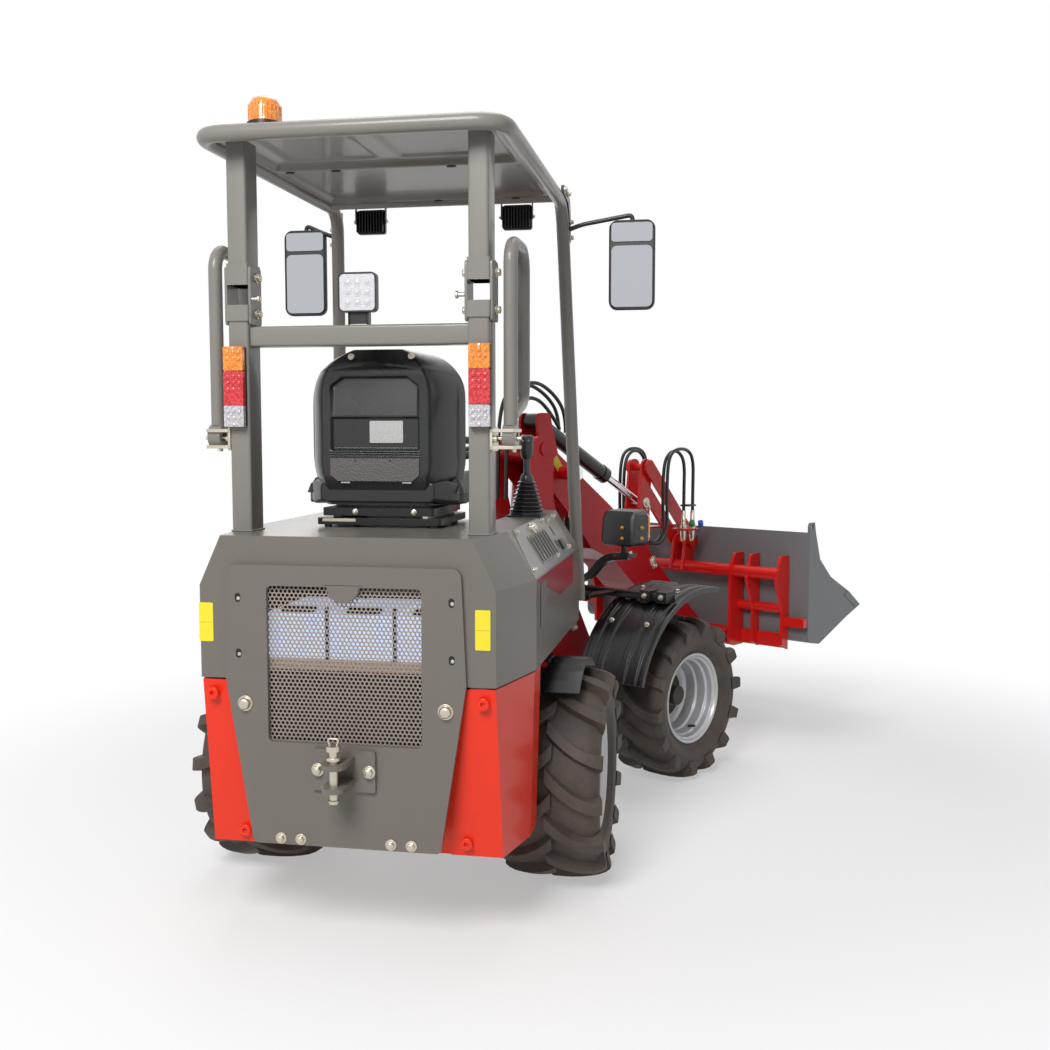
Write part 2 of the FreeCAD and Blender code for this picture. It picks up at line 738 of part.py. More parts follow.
def make_front_chassis():
    body = new_body()
    for low, high in EARS_FRONT:
        pad(body, "XY", [ear_outline(125, 110, 50, 1), (0, 0, PIN + PIN_GAP)], low, high)
    side = [(110, 345), (110, 700), (175, 1120), (200, 1235, 30), (300, 1235, 30), (298, 1010), (420, 640), (520, 460),
            (700, 400), (700, 345)]
    for low, high in sides(105, 117):
        pad(body, "XZ", [side, (S.boom_x, S.boom_z, 25.4)], low, high)
    block(body, (110, 122), (-105, 105), (345, 700))
    block(body, (110, 480), (-105, 105), (345, 357))
    block(body, (688, 700), (-105, 105), (357, 378))
    block(body, (122, 400), (-105, 105), (600, 612))
    for low, high in sides(117, 180):
        pad(body, "XZ", [(LIFT_LOW[0], LIFT_LOW[1], 16)], low, high)
    for low, high in ((396, 406), (444, 454)):
        block(body, (55, 122), (105, 200), (low, high))
    keep(body, "front_chassis", FRONT)


def make_front_fenders():
    body = new_body()
    outline = fender_outline(float(S.front_axle_x), 396, 402, 76, 164, 14)
    for low, high in sides(362, 590):
        pad(body, "XZ", [outline], low, high)
    keep(body, "front_fenders", FRONT)
    arms = new_body()
    for low, high in sides(117, 440):
        block(arms, (232, 272), (low, high), (700, 740))
    for low, high in sides(400, 440):
        block(arms, (232, 272), (low, high), (740, 850))
    keep(arms, "lamp_arms", FRONT)
    lamps = new_body()
    for low, high in sides(345, 480):
        block(lamps, (225, 330), (low, high), (850, 960), 12)
    keep(lamps, "headlamps", FRONT)


def boom_side():
    """Side plate of the boom."""
    return [(215, 1215, 40), (300, 1210), (660, 975), (760, 905), (905, 800), (1010, 700, 60), (1120, 605), (1338, 425, 40),
            (1330, 350, 44), (1250, 350), (1050, 480), (835, 640), (705, 745), (560, 806), (460, 915), (200, 1150, 30)]


def make_boom():
    body = new_body()
    inner = S.boom_half - S.boom_plate
    for low, high in sides(inner, S.boom_half):
        pad(body, "XZ", [boom_side()], low, high)
    pad(body, "XZ", [[(300, 1198), (300, 1210), (660, 975), (760, 905), (752, 895), (652, 963)]], -inner, inner)
    pad(body, "XZ", [[(300, 1045), (460, 915), (560, 806), (705, 745), (835, 640), (1050, 480), (1057, 490), (842, 651),
                      (711, 757), (570, 817), (470, 924), (300, 1057)]], -inner, inner)
    pad(body, "XZ", [(S.boom_x, S.boom_z, 45)], -S.boom_half, S.boom_half)
    pad(body, "XZ", [(S.boom_x, S.boom_z, 25)], -122, 122)
    pad(body, "XZ", [(S.nose_x, S.nose_z, 40)], -255, 255)
    pad(body, "XZ", [(S.lever_x, S.lever_z, 22)], -S.boom_half, S.boom_half)
    for low, high in sides(36, 48):
        pad(body, "XZ", [[(300, 1190), (290, 1290), (300, 1320, 14), (360, 1320, 14), (370, 1280), (420, 1125)]], low, high)
    pad(body, "XZ", [(TILT_BACK[0], TILT_BACK[1], 12)], -48, 48)
    for low, high in sides(S.boom_half, 128):
        pad(body, "XZ", [(LIFT_EYE[0], LIFT_EYE[1], 24)], low, high)
    keep(body, "boom", FRONT)


def make_tilt():
    lever = new_body()
    x, z = S.lever_x, S.lever_z
    top_x, top_z = x + S.lever_lean, z + S.lever_rise
    plate = [(x - 42, z, 38), (x - 30, z + 220), (top_x - 34, top_z + 34, 30), (top_x + 34, top_z + 34, 30),
             (x + 48, z + 220), (x + 42, z - 42, 38), (x - 42, z - 42, 38)]
    for low, high in sides(26, 36):
        pad(lever, "XZ", [plate, (x, z, 22.4), (top_x, top_z, 14.4)], low, high)
    pad(lever, "XZ", [(x, z, 40), (x, z, 22.4)], -26, 26)
    pad(lever, "XZ", [(x - 2, z + 100, 14)], -26, 26)
    keep(lever, "tilt_lever", FRONT)

    link = new_body()
    hook_x, hook_z = S.nose_x + S.lever_lean, S.nose_z + S.lever_rise
    for low, high in sides(41, 51):
        pad(link, "XZ", [strap((top_x, top_z), (hook_x, hook_z), 30)], low, high)
    for pin_x, pin_z in ((top_x, top_z), (hook_x, hook_z)):
        pad(link, "XZ", [(pin_x, pin_z, 14)], -41, 41)
    keep(link, "tilt_link", FRONT)

    reach = math.dist(TILT_BACK, TILT_PIN)
    keep(cylinder_barrel(flat(TILT_BACK), flat(TILT_PIN), 470, 30, 15.4, 32, 12.4), "tilt_barrel", FRONT)
    keep(cylinder_rod(flat(TILT_BACK), flat(TILT_PIN), reach - 510, 15, 20), "tilt_rod", FRONT)


def flat(spot, y=0):
    """A pin centre in the machine's XZ plane, moved across to a side."""
    return Vector(float(spot[0]), float(y), float(spot[1]))


def cylinder_barrel(back, eye, length, radius, bore, eye_half, pin_bore, across=Vector(0, 1, 0)):
    """A hydraulic barrel: an eye on its back pin, a tube open at the gland."""
    run = (eye - back).normalize()
    tube_part = cut(bar(back, back + run * length, radius), bar(back + run * 60, back + run * (length + 5), bore))
    ring = bar(back - across * eye_half, back + across * eye_half, radius)
    gland = cut(bar(back + run * (length - 34), back + run * length, radius + 3), bar(back + run * (length - 40), back + run * (length + 5), bore))
    hole = bar(back - across * 60, back + across * 60, pin_bore)
    return cut(fuse([tube_part, ring, gland]), hole)


def cylinder_rod(back, eye, tail, radius, eye_half, across=Vector(0, 1, 0)):
    """A piston rod that starts inside its barrel and ends in an eye."""
    run = (eye - back).normalize()
    ring = bar(eye - across * eye_half, eye + across * eye_half, radius + 11)
    return fuse([bar(back + run * tail, eye, radius), ring])


def along(a, b, distance):
    """The point in the machine's XZ plane at a distance from a towards b."""
    a, b = Vector(float(a[0]), 0, float(a[1])), Vector(float(b[0]), 0, float(b[1]))
    return a + (b - a).normalize() * distance


def strap(a, b, half):
    """Outline of a link with square ends past its two pins."""
    a, b = Vector(float(a[0]), float(a[1]), 0), Vector(float(b[0]), float(b[1]), 0)
    run = (b - a).normalize() * half
    side = Vector(-run.y, run.x, 0)
    corners = (a - run + side, a - run - side, b + run - side, b + run + side)
    return [(p.x, p.y, half * 0.9) for p in corners]


def make_lift():
    barrels, rods = [], []
    reach = math.dist(LIFT_LOW, LIFT_EYE)
    for side in (1, -1):
        low, high = flat(LIFT_LOW, side * LIFT_Y), flat(LIFT_EYE, side * LIFT_Y)
        barrels.append(cylinder_barrel(low, high, 380, 27, 14.4, 18, 16.4))
        rods.append(cylinder_rod(low, high, reach - 383, 14, 18))
    keep(gather(barrels), "lift_barrels", FRONT)
    keep(gather(rods), "lift_rods", FRONT)


def turned_right(x, y, z):
    """A front frame point, in the rear frame's coordinates."""
    spot = Rotation(Vector(0, 0, -1), float(S.steer_rest)).multVec(Vector(x, y, z))
    return spot


def make_steering():
    back = Vector(STEER_BACK[0], STEER_BACK[1], STEER_Z)
    ahead = turned_right(STEER_EYE[0], STEER_EYE[1], STEER_Z)
    up = Vector(0, 0, 1)
    reach = (ahead - back).Length
    keep(cylinder_barrel(back, ahead, 320, 23, 12.4, 16, 10.4, up), "steer_barrel", REAR)
    keep(cylinder_rod(back, ahead, reach - 300, 12, 12, up), "steer_rod", REAR)


def make_carrier():
    body = new_body()
    x, z = S.nose_x, S.nose_z
    front = x + 68
    main = [(x - 42, z - 42, 40), (x - 30, z + 120), (x - 34, z + 290, 20), (x + 4, z + 350, 12), (front, z + 350, 8),
            (front, z - 42)]
    for low, high in sides(262, 276):
        pad(body, "XZ", [main], low, high)
    outer = [(x - 34, z + 250, 14), (x + 4, z + 350, 12), (front, z + 350, 8), (front, z - 42), (x + 20, z - 20), (x + 20, z + 120)]
    for inner in (340, 477):
        for low, high in sides(inner, inner + 12):
            pad(body, "XZ", [outer], low, high)
    pad(body, "XZ", [(x - 4, z + 276, 26)], -485, 485)
    for low, high in sides(270, 485):
        pad(body, "XZ", [(x + 40, z + 130, 20)], low, high)
    for low, high in sides(22, 36):
        pad(body, "XZ", [[(x - 36, z + 262), (x - 8, z + 412, 34), (x + 66, z + 412, 34), (x + 40, z + 262)],
                         (x + S.lever_lean, z + S.lever_rise, 14.4)], low, high)
    block(body, (x + 54, front), (-485, 485), (z - 36, z + 24))
    for low, high in sides(482, 578):
        block(body, (x + 30, front - 6), (low, high), (z + 60, z + 96))
    keep(body, "tool_carrier", FRONT)


def make_bucket():
    body = new_body()
    outer = [(1366, 842), (1366, 390, 40), (1463, 373, 30), (1707, 459), (1834, 497)]
    inner = [(1826, 505), (1704, 468), (1460, 383, 30), (1376, 395, 40), (1376, 842)]
    half = S.bucket_half
    pad(body, "XZ", [outer + inner], -half + 10, half - 10)
    side = [(1366, 842), (1366, 390, 40), (1463, 373, 30), (1707, 459), (1834, 497), (1716, 571), (1558, 644),
            (1460, 726), (1418, 842)]
    for low, high in sides(half - 10, half):
        pad(body, "XZ", [side], low, high)
    keep(body, "bucket", FRONT)

    ears = []
    for low, high in sides(half - 10, half):
        ear = new_body()
        pad(ear, "XZ", [[(1366, 842), (1418, 842), (1409, 882), (1374, 882), (1366, 870)], (1390, 862, 11)], low, high)
        ears.append(ear)
    keep(gather(ears), "bucket_ears", FRONT)


# ---------------------------------------------------------------- build and write

def build():
    make_rear_chassis()
    make_axle("rear_axle", REAR, S.rear_axle_x, 345)
    make_battery()
    make_body_cover()
    make_side_boxes()
    make_rear_plate()
    make_grille()
    make_tow_bracket()
    make_rops()
    make_roof_panel()
    make_beacon()
    make_lamps()
    make_mirrors()
    make_seat()
    make_controls()
    make_rear_fenders()
    make_safety_bars()
    make_wheels()
    make_front_chassis()
    make_axle("front_axle", FRONT, S.front_axle_x, 345)
    make_front_fenders()
    make_boom()
    make_tilt()
    make_lift()
    make_steering()
    make_carrier()
    make_bucket()


def check_and_write():
    doc.recompute()
    failed = [f"{item.Name}: {item.State}" for item in doc.Objects if {"Invalid", "Error"} & set(item.State)]
    for item in NODES:
        if item.Shape.isNull() or not item.Shape.isValid():
            failed.append(f"{item.Label}: bad shape")
    if failed:
        raise RuntimeError("; ".join(failed))
    os.makedirs("parts", exist_ok=True)
    for item in NODES:
        item.Shape.exportStep(f"parts/{item.Label}.step")
        print(item.Label, len(item.Shape.Solids), round(item.Shape.Volume / 1e6, 2))


build()
check_and_write()
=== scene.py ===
"""Electric wheel loader: finishes, lamps, seat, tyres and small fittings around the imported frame."""

import json
import logging
import math
from dataclasses import dataclass, field
from enum import Enum
from typing import Any, Callable, Iterable, Optional, Sequence

import bmesh
import bpy
from mathutils import Matrix, Vector
from mathutils.bvhtree import BVHTree


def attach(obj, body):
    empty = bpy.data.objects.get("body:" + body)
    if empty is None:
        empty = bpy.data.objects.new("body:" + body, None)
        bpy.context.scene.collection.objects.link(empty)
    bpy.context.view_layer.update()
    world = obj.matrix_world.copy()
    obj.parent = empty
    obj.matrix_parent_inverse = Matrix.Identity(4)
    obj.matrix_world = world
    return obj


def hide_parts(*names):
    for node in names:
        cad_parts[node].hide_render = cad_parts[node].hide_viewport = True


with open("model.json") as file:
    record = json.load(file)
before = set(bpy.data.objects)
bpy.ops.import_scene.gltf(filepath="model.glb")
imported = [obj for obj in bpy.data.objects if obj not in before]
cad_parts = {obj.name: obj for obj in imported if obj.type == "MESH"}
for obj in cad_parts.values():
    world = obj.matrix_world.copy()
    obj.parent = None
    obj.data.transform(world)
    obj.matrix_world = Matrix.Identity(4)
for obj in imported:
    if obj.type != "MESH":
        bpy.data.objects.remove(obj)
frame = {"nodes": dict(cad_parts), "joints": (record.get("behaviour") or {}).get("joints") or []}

MM = 0.001
REAR_AXLE, FRONT_AXLE, WHEEL_RADIUS = -735.0, 585.0, 292.0
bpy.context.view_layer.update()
LOG = logging.getLogger("loader")

Colour = tuple[float, float, float]
Point = Sequence[float]


# ---------------------------------------------------------------- shader graphs


class Wire:
    """A shader socket that can stand in an arithmetic expression."""

    def __init__(self, graph: "Graph", socket: bpy.types.NodeSocket) -> None:
        """Wraps one output socket of a graph."""
        self.graph = graph
        self.socket = socket

    def _math(self, operation: str, left: Any, right: Any) -> "Wire":
        """Adds a Math node on two values."""
        return self.graph.node("Math", {"operation": operation}, {0: left, 1: right})

    def __add__(self, other: Any) -> "Wire":
        """self + other."""
        return self._math("ADD", self, other)

    def __radd__(self, other: Any) -> "Wire":
        """other + self."""
        return self._math("ADD", other, self)

    def __sub__(self, other: Any) -> "Wire":
        """self - other."""
        return self._math("SUBTRACT", self, other)

    def __rsub__(self, other: Any) -> "Wire":
        """other - self."""
        return self._math("SUBTRACT", other, self)

    def __mul__(self, other: Any) -> "Wire":
        """self * other."""
        return self._math("MULTIPLY", self, other)

    def __rmul__(self, other: Any) -> "Wire":
        """other * self."""
        return self._math("MULTIPLY", other, self)

    def __gt__(self, other: Any) -> "Wire":
        """1 where self is over other, else 0."""
        return self._math("GREATER_THAN", self, other)

    def clamped(self) -> "Wire":
        """The value held between 0 and 1."""
        return self.graph.node("Clamp", {}, {"Value": self})


class Graph:
    """The node tree of one material, or of the world."""

    def __init__(self, name: str, world: Optional[bpy.types.World] = None) -> None:
        """Starts an empty tree.

        Args:
            name: the new material's name.
            world: a world that is dressed in place of a new material.
        """
        self.owner = world or bpy.data.materials.new(name)
        self.owner.use_nodes = True
        self.tree = self.owner.node_tree
        self.tree.nodes.clear()

    def node(self, kind: str, settings: dict[str, Any], inputs: dict[Any, Any], out: Any = 0) -> Wire:
        """Adds a node.

        Args:
            kind: the node type without its ShaderNode prefix.
            settings: attributes of the node, set before its inputs.
            inputs: socket name or index, to a number, colour or Wire.
            out: the output that is returned.

        Returns:
            The chosen output.
        """
        made = self.tree.nodes.new("ShaderNode" + kind)
        for name, value in settings.items():
            setattr(made, name, value)
        for name, value in inputs.items():
            if isinstance(value, Wire):
                self.tree.links.new(value.socket, made.inputs[name])
            else:
                made.inputs[name].default_value = value
        return Wire(self, made.outputs[out])

    def place(self) -> Wire:
        """The surface point in the piece's own metres."""
        return self.node("TexCoord", {}, {}, "Object")

    def noise(self, scale: float, detail: float = 3.0, rough: float = 0.5) -> Wire:
        """Smooth noise from 0 to 1."""
        return self.node("TexNoise", {}, {"Vector": self.place(), "Scale": scale, "Detail": detail,
                                          "Roughness": rough})

    def mix(self, share: Any, first: Any, second: Any) -> Wire:
        """Blends two colours by a share."""
        return self.node("Mix", {"data_type": "RGBA"}, {0: share, 6: shade(first), 7: shade(second)}, 2)

    def finish(self, **sockets: Any) -> bpy.types.Material:
        """Closes the material with a Principled shader.

        Args:
            sockets: Principled inputs, their spaces written as underscores.

        Returns:
            The material.
        """
        inputs = {name.replace("_", " "): shade(value) for name, value in sockets.items()}
        surface = self.node("BsdfPrincipled", {}, inputs)
        self.node_out(surface)
        return self.owner

    def node_out(self, surface: Wire) -> None:
        """Links a shader to the tree's output."""
        kind = "World" if isinstance(self.owner, bpy.types.World) else "Material"
        end = self.tree.nodes.new(f"ShaderNodeOutput{kind}")
        self.tree.links.new(surface.socket, end.inputs["Surface"])

    def seen(self) -> Wire:
        """1 for what the camera meets, straight on, in a reflection or through glass, else 0."""
        rays = [self.node("LightPath", {}, {}, f"Is {kind} Ray") for kind in ("Camera", "Glossy", "Transmission")]
        return (rays[0] + rays[1] + rays[2]).clamped()

    def bump(self, height: Wire, depth: float, strength: float = 1.0) -> Wire:
        """A bumped normal, with its depth in metres."""
        return self.node("Bump", {}, {"Strength": strength, "Distance": depth, "Height": height}, "Normal")


def shade(value: Any) -> Any:
    """A three-part colour gets its alpha."""
    if isinstance(value, tuple) and len(value) == 3:
        return (*value, 1.0)
    return value


def linear(red: int, green: int, blue: int) -> Colour:
    """A screen colour of 0 to 255 a channel, as the linear colour that shaders take."""
    parts = [c / 255 for c in (red, green, blue)]
    return tuple(c / 12.92 if c <= 0.04045 else ((c + 0.055) / 1.055) ** 2.4 for c in parts)


# ---------------------------------------------------------------- finishes


@dataclass(frozen=True)
class Paint:
    """Sprayed paint with orange peel, a little dust low down and a slightly uneven tone."""

    name: str
    colour: Colour
    roughness: float = 0.35
    coat: float = 0.3
    metallic: float = 0.0
    peel: float = 0.00025
    dust: float = 0.25

    def material(self) -> bpy.types.Material:
        """The finished material."""
        g = Graph(self.name)
        cloud = g.noise(3.0, 4.0, 0.6)
        fine = g.noise(90.0, 2.0)
        height = g.node("SeparateXYZ", {}, {"Vector": g.place()}, "Z")
        low = (1.0 - height * 1.6).clamped()
        dusty = (low * cloud * self.dust + (fine > 0.68) * low * self.dust * 0.3).clamped()
        tone = g.mix(cloud * 0.5, self.colour, tuple(c * 0.82 for c in self.colour))
        base = g.mix(dusty, tone, linear(128, 116, 102))
        rough = self.roughness + (cloud - 0.5) * 0.12 + dusty * 0.3
        normal = g.bump(g.noise(420.0, 1.0), self.peel)
        return g.finish(Base_Color=base, Roughness=rough, Metallic=self.metallic, Coat_Weight=self.coat,
                        Coat_Roughness=0.12, Specular_IOR_Level=0.25, Normal=normal)


@dataclass(frozen=True)
class Plastic:
    """Moulded plastic with a fine grain, and, where glow is set, an emission that is painted light on a part that is
    no lamp.
    """

    name: str
    colour: Colour
    roughness: float = 0.5
    grain: float = 0.0002
    scale: float = 900.0
    # glow: emission strength, painted light that makes the part look lit
    glow: float = 0.0

    def material(self) -> bpy.types.Material:
        """The finished material."""
        g = Graph(self.name)
        cloud = g.noise(6.0, 3.0)
        grain = g.node("TexVoronoi", {}, {"Vector": g.place(), "Scale": self.scale}, "Distance")
        tone = g.mix(cloud * 0.4, self.colour, tuple(min(1.0, c * 1.5 + 0.006) for c in self.colour))
        return g.finish(Base_Color=tone, Roughness=self.roughness + (cloud - 0.5) * 0.15,
                        Emission_Color=tone, Emission_Strength=self.glow, Normal=g.bump(grain, self.grain))


@dataclass(frozen=True)
class Metal:
    """Bare or plated metal."""

    name: str
    colour: Colour
    roughness: float = 0.3
    mottle: float = 0.2

    def material(self) -> bpy.types.Material:
        """The finished material."""
        g = Graph(self.name)
        cloud = g.noise(24.0, 4.0, 0.6)
        tone = g.mix(cloud * self.mottle * 2.0, self.colour, tuple(c * 0.7 for c in self.colour))
        return g.finish(Base_Color=tone, Roughness=(self.roughness + (cloud - 0.5) * self.mottle).clamped(),
                        Metallic=1.0, Normal=g.bump(g.noise(300.0, 2.0), 0.00015))


@dataclass(frozen=True)
class Lens:
    """A moulded lamp lens with prisms behind a smooth face."""

    name: str
    colour: Colour
    glow: float = 0.15
    cell: float = 160.0

    def material(self) -> bpy.types.Material:
        """The finished material."""
        g = Graph(self.name)
        cells = g.node("TexVoronoi", {"feature": "F1"}, {"Vector": g.place(), "Scale": self.cell}, "Distance")
        tone = g.mix((cells * 1.4).clamped(), tuple(min(1.0, c * 1.15 + 0.03) for c in self.colour),
                     tuple(c * 0.62 for c in self.colour))
        return g.finish(Base_Color=tone, Roughness=0.16, Coat_Weight=0.8, Coat_Roughness=0.03,
                        Emission_Color=tone, Emission_Strength=self.glow, Normal=g.bump(cells, 0.0006, 0.6))


@dataclass(frozen=True)
class Tread:
    """Brownish tyre rubber with paler dust in patches."""

    name: str

    def material(self) -> bpy.types.Material:
        """The finished material."""
        g = Graph(self.name)
        cloud = g.noise(9.0, 5.0, 0.65)
        fine = g.noise(140.0, 3.0, 0.7)
        tone = g.mix((cloud * 1.3 - 0.25).clamped(), linear(46, 41, 38), linear(96, 84, 74))
        tone = g.mix((fine - 0.45).clamped() * 0.7, tone, linear(104, 92, 80))
        return g.finish(Base_Color=tone, Roughness=0.62 + (cloud - 0.5) * 0.2,
                        Normal=g.bump(fine * 0.6 + cloud * 0.4, 0.0012))


@dataclass(frozen=True)
class Glass:
    """A silvered mirror face."""

    name: str

    def material(self) -> bpy.types.Material:
        """The finished material."""
        g = Graph(self.name)
        haze = g.noise(5.0, 3.0)
        return g.finish(Base_Color=linear(186, 189, 194), Metallic=1.0, Roughness=0.04 + haze * 0.05)


class Finishes:
    """Every finish of the machine, made once and kept by name."""

    def __init__(self) -> None:
        """Makes the materials."""
        kinds = (
            Paint("cover_grey", linear(118, 112, 105), roughness=0.38, coat=0.25),
            Paint("post_grey", linear(134, 130, 124), roughness=0.36, coat=0.3),
            Paint("dark_steel", linear(58, 60, 62), roughness=0.4, coat=0.2),
            Paint("frame_red", linear(204, 12, 26), roughness=0.36, coat=0.2, dust=0.1),
            Paint("body_red", linear(246, 52, 22), roughness=0.36, coat=0.2, dust=0.1),
            Paint("carrier_red", linear(230, 32, 28), roughness=0.32, coat=0.25, dust=0.08),
            Paint("axle_black", linear(34, 33, 32), roughness=0.5, coat=0.1, dust=0.5),
            Paint("black_steel", linear(30, 30, 31), roughness=0.38, coat=0.3),
            Paint("cylinder_black", linear(28, 28, 29), roughness=0.3, coat=0.4),
            Paint("tread_plate", linear(44, 44, 45), roughness=0.5, coat=0.1),
            Paint("bucket_grey", linear(128, 130, 132), roughness=0.42, coat=0.15, dust=0.35),
            Paint("rim_silver", linear(206, 206, 208), roughness=0.32, coat=0.3, metallic=0.35, dust=0.12),
            # a lighter copy of the cover grey: painted highlight for the shoulder's vent plate
            Paint("shoulder_highlight_grey", linear(150, 147, 143), roughness=0.34, coat=0.3),
            # the glow of 0.3 is painted light: the tray edge shines as if lit behind the grille
            Plastic("tray_sand", linear(166, 142, 128), roughness=0.5, glow=0.3),
            Plastic("plate_dull", linear(92, 88, 88), roughness=0.45, grain=0.00004),
            Paint("band_red", linear(166, 24, 44), roughness=0.34, coat=0.4, dust=0.1),
            Paint("grille_steel", linear(158, 146, 136), roughness=0.42, coat=0.15),
            # the glow of 0.9 is painted light: the cases shine as if lit behind the grille
            Plastic("battery_blue", linear(172, 184, 208), roughness=0.4, glow=0.9),
            Plastic("black_plastic", linear(26, 26, 27), roughness=0.42),
            Plastic("lamp_black", linear(18, 18, 19), roughness=0.35, grain=0.0001),
            Plastic("black_rubber", linear(22, 22, 22), roughness=0.6),
            Plastic("hose_rubber", linear(17, 17, 18), roughness=0.36, grain=0.0002, scale=500.0),
            Plastic("boot_rubber", linear(30, 31, 32), roughness=0.3, grain=0.0001),
            Plastic("grip_blue", linear(46, 50, 62), roughness=0.35),
            Plastic("fender_black", linear(24, 24, 25), roughness=0.26, grain=0.0001),
            Plastic("shadow_black", linear(10, 10, 10), roughness=0.7, grain=0.00004),
            Plastic("seat_gloss", linear(32, 33, 34), roughness=0.27, grain=0.0001),
            Plastic("seat_grain", linear(88, 84, 84), roughness=0.62, grain=0.0012, scale=210.0),
            Plastic("label_line", linear(190, 150, 30), roughness=0.5, grain=0.00002),
            Plastic("lamp_face", linear(196, 196, 200), roughness=0.25, grain=0.0006, scale=260.0),
            Plastic("seat_shell", linear(30, 31, 32), roughness=0.4, grain=0.0003, scale=700.0),
            Plastic("seat_vinyl", linear(26, 26, 27), roughness=0.48, grain=0.0005, scale=420.0),
            Plastic("sticker_yellow", linear(240, 216, 44), roughness=0.4, grain=0.00002),
            Plastic("plate_silver", linear(176, 176, 174), roughness=0.4, grain=0.00004),
            Plastic("cap_green", linear(24, 128, 72), roughness=0.4),
            Plastic("cap_blue", linear(30, 92, 196), roughness=0.4),
            Metal("zinc_steel", linear(206, 198, 182), roughness=0.34),
            Metal("rod_chrome", linear(226, 228, 232), roughness=0.09, mottle=0.05),
            Metal("brass", linear(196, 150, 86), roughness=0.3),
            Lens("amber_lens", linear(250, 140, 16), glow=0.2),
            Lens("red_lens", linear(214, 20, 34), glow=0.18),
            Lens("clear_lens", linear(206, 202, 206), glow=0.08, cell=220.0),
            Tread("tyre_rubber"),
            Glass("mirror_glass"),
        )
        self._made = {kind.name: kind.material() for kind in kinds}

    def __getitem__(self, name: str) -> bpy.types.Material:
        """The material of that name."""
        return self._made[name]

    def pick(self, *names: str) -> list[bpy.types.Material]:
        """The materials of those names, in order."""
        return [self._made[name] for name in names]


# ---------------------------------------------------------------- places and meshes


class Side(Enum):
    """The machine's left and right, by the sign of Y."""

    LEFT = 1
    RIGHT = -1

    def span(self, near: float, far: float) -> tuple[float, float]:
        """Two distances from the middle as lowest and highest Y on this side."""
        return min(self.value * near, self.value * far), max(self.value * near, self.value * far)


class Body(Enum):
    """The bodies of the frame that pieces ride on."""

    REAR = "rear_frame"
    FRONT = "front_frame"
    BOOM = "boom_arm"
    LEVER = "lever"
    LINK = "link"
    TILT = "tilt_cylinder"
    CARRIER = "carrier"
    WHEEL_REAR_LEFT = "wheel_rear_left"
    WHEEL_REAR_RIGHT = "wheel_rear_right"
    WHEEL_FRONT_LEFT = "wheel_front_left"
    WHEEL_FRONT_RIGHT = "wheel_front_right"


@dataclass(frozen=True)
class Place:
    """A frame of the machine: a spot on the ground under the pivot, and a heading."""

    origin: Vector
    heading: float

    @property
    def matrix(self) -> Matrix:
        """From this frame's metres to the whole machine's."""
        return Matrix.Translation(self.origin) @ Matrix.Rotation(self.heading, 4, "Z")

    def box(self, node: str) -> tuple[Vector, Vector]:
        """Lowest and highest corner of a CAD node, along this frame's own axes."""
        back = self.matrix.inverted()
        spots = [back @ v.co for v in frame["nodes"][node].data.vertices]
        low = Vector(min(p[i] for p in spots) for i in range(3))
        high = Vector(max(p[i] for p in spots) for i in range(3))
        return low, high


def joint(name: str) -> dict[str, Any]:
    """A joint of the frame by name."""
    return next(j for j in frame["joints"] if j["name"] == name)


def places() -> tuple[Place, Place]:
    """The rear frame's place and the front frame's, from the steering pivot and the front axle."""
    pivot = Vector(joint("steering")["pos_m"])
    ground = Vector((pivot.x, pivot.y, 0.0))
    axle = Vector(joint("wheel_front_left_spin")["axis"])
    axle = axle if axle.y > 0 else -axle
    return Place(ground, 0.0), Place(ground, math.atan2(-axle.x, axle.y))


REAR, FRONT = places()


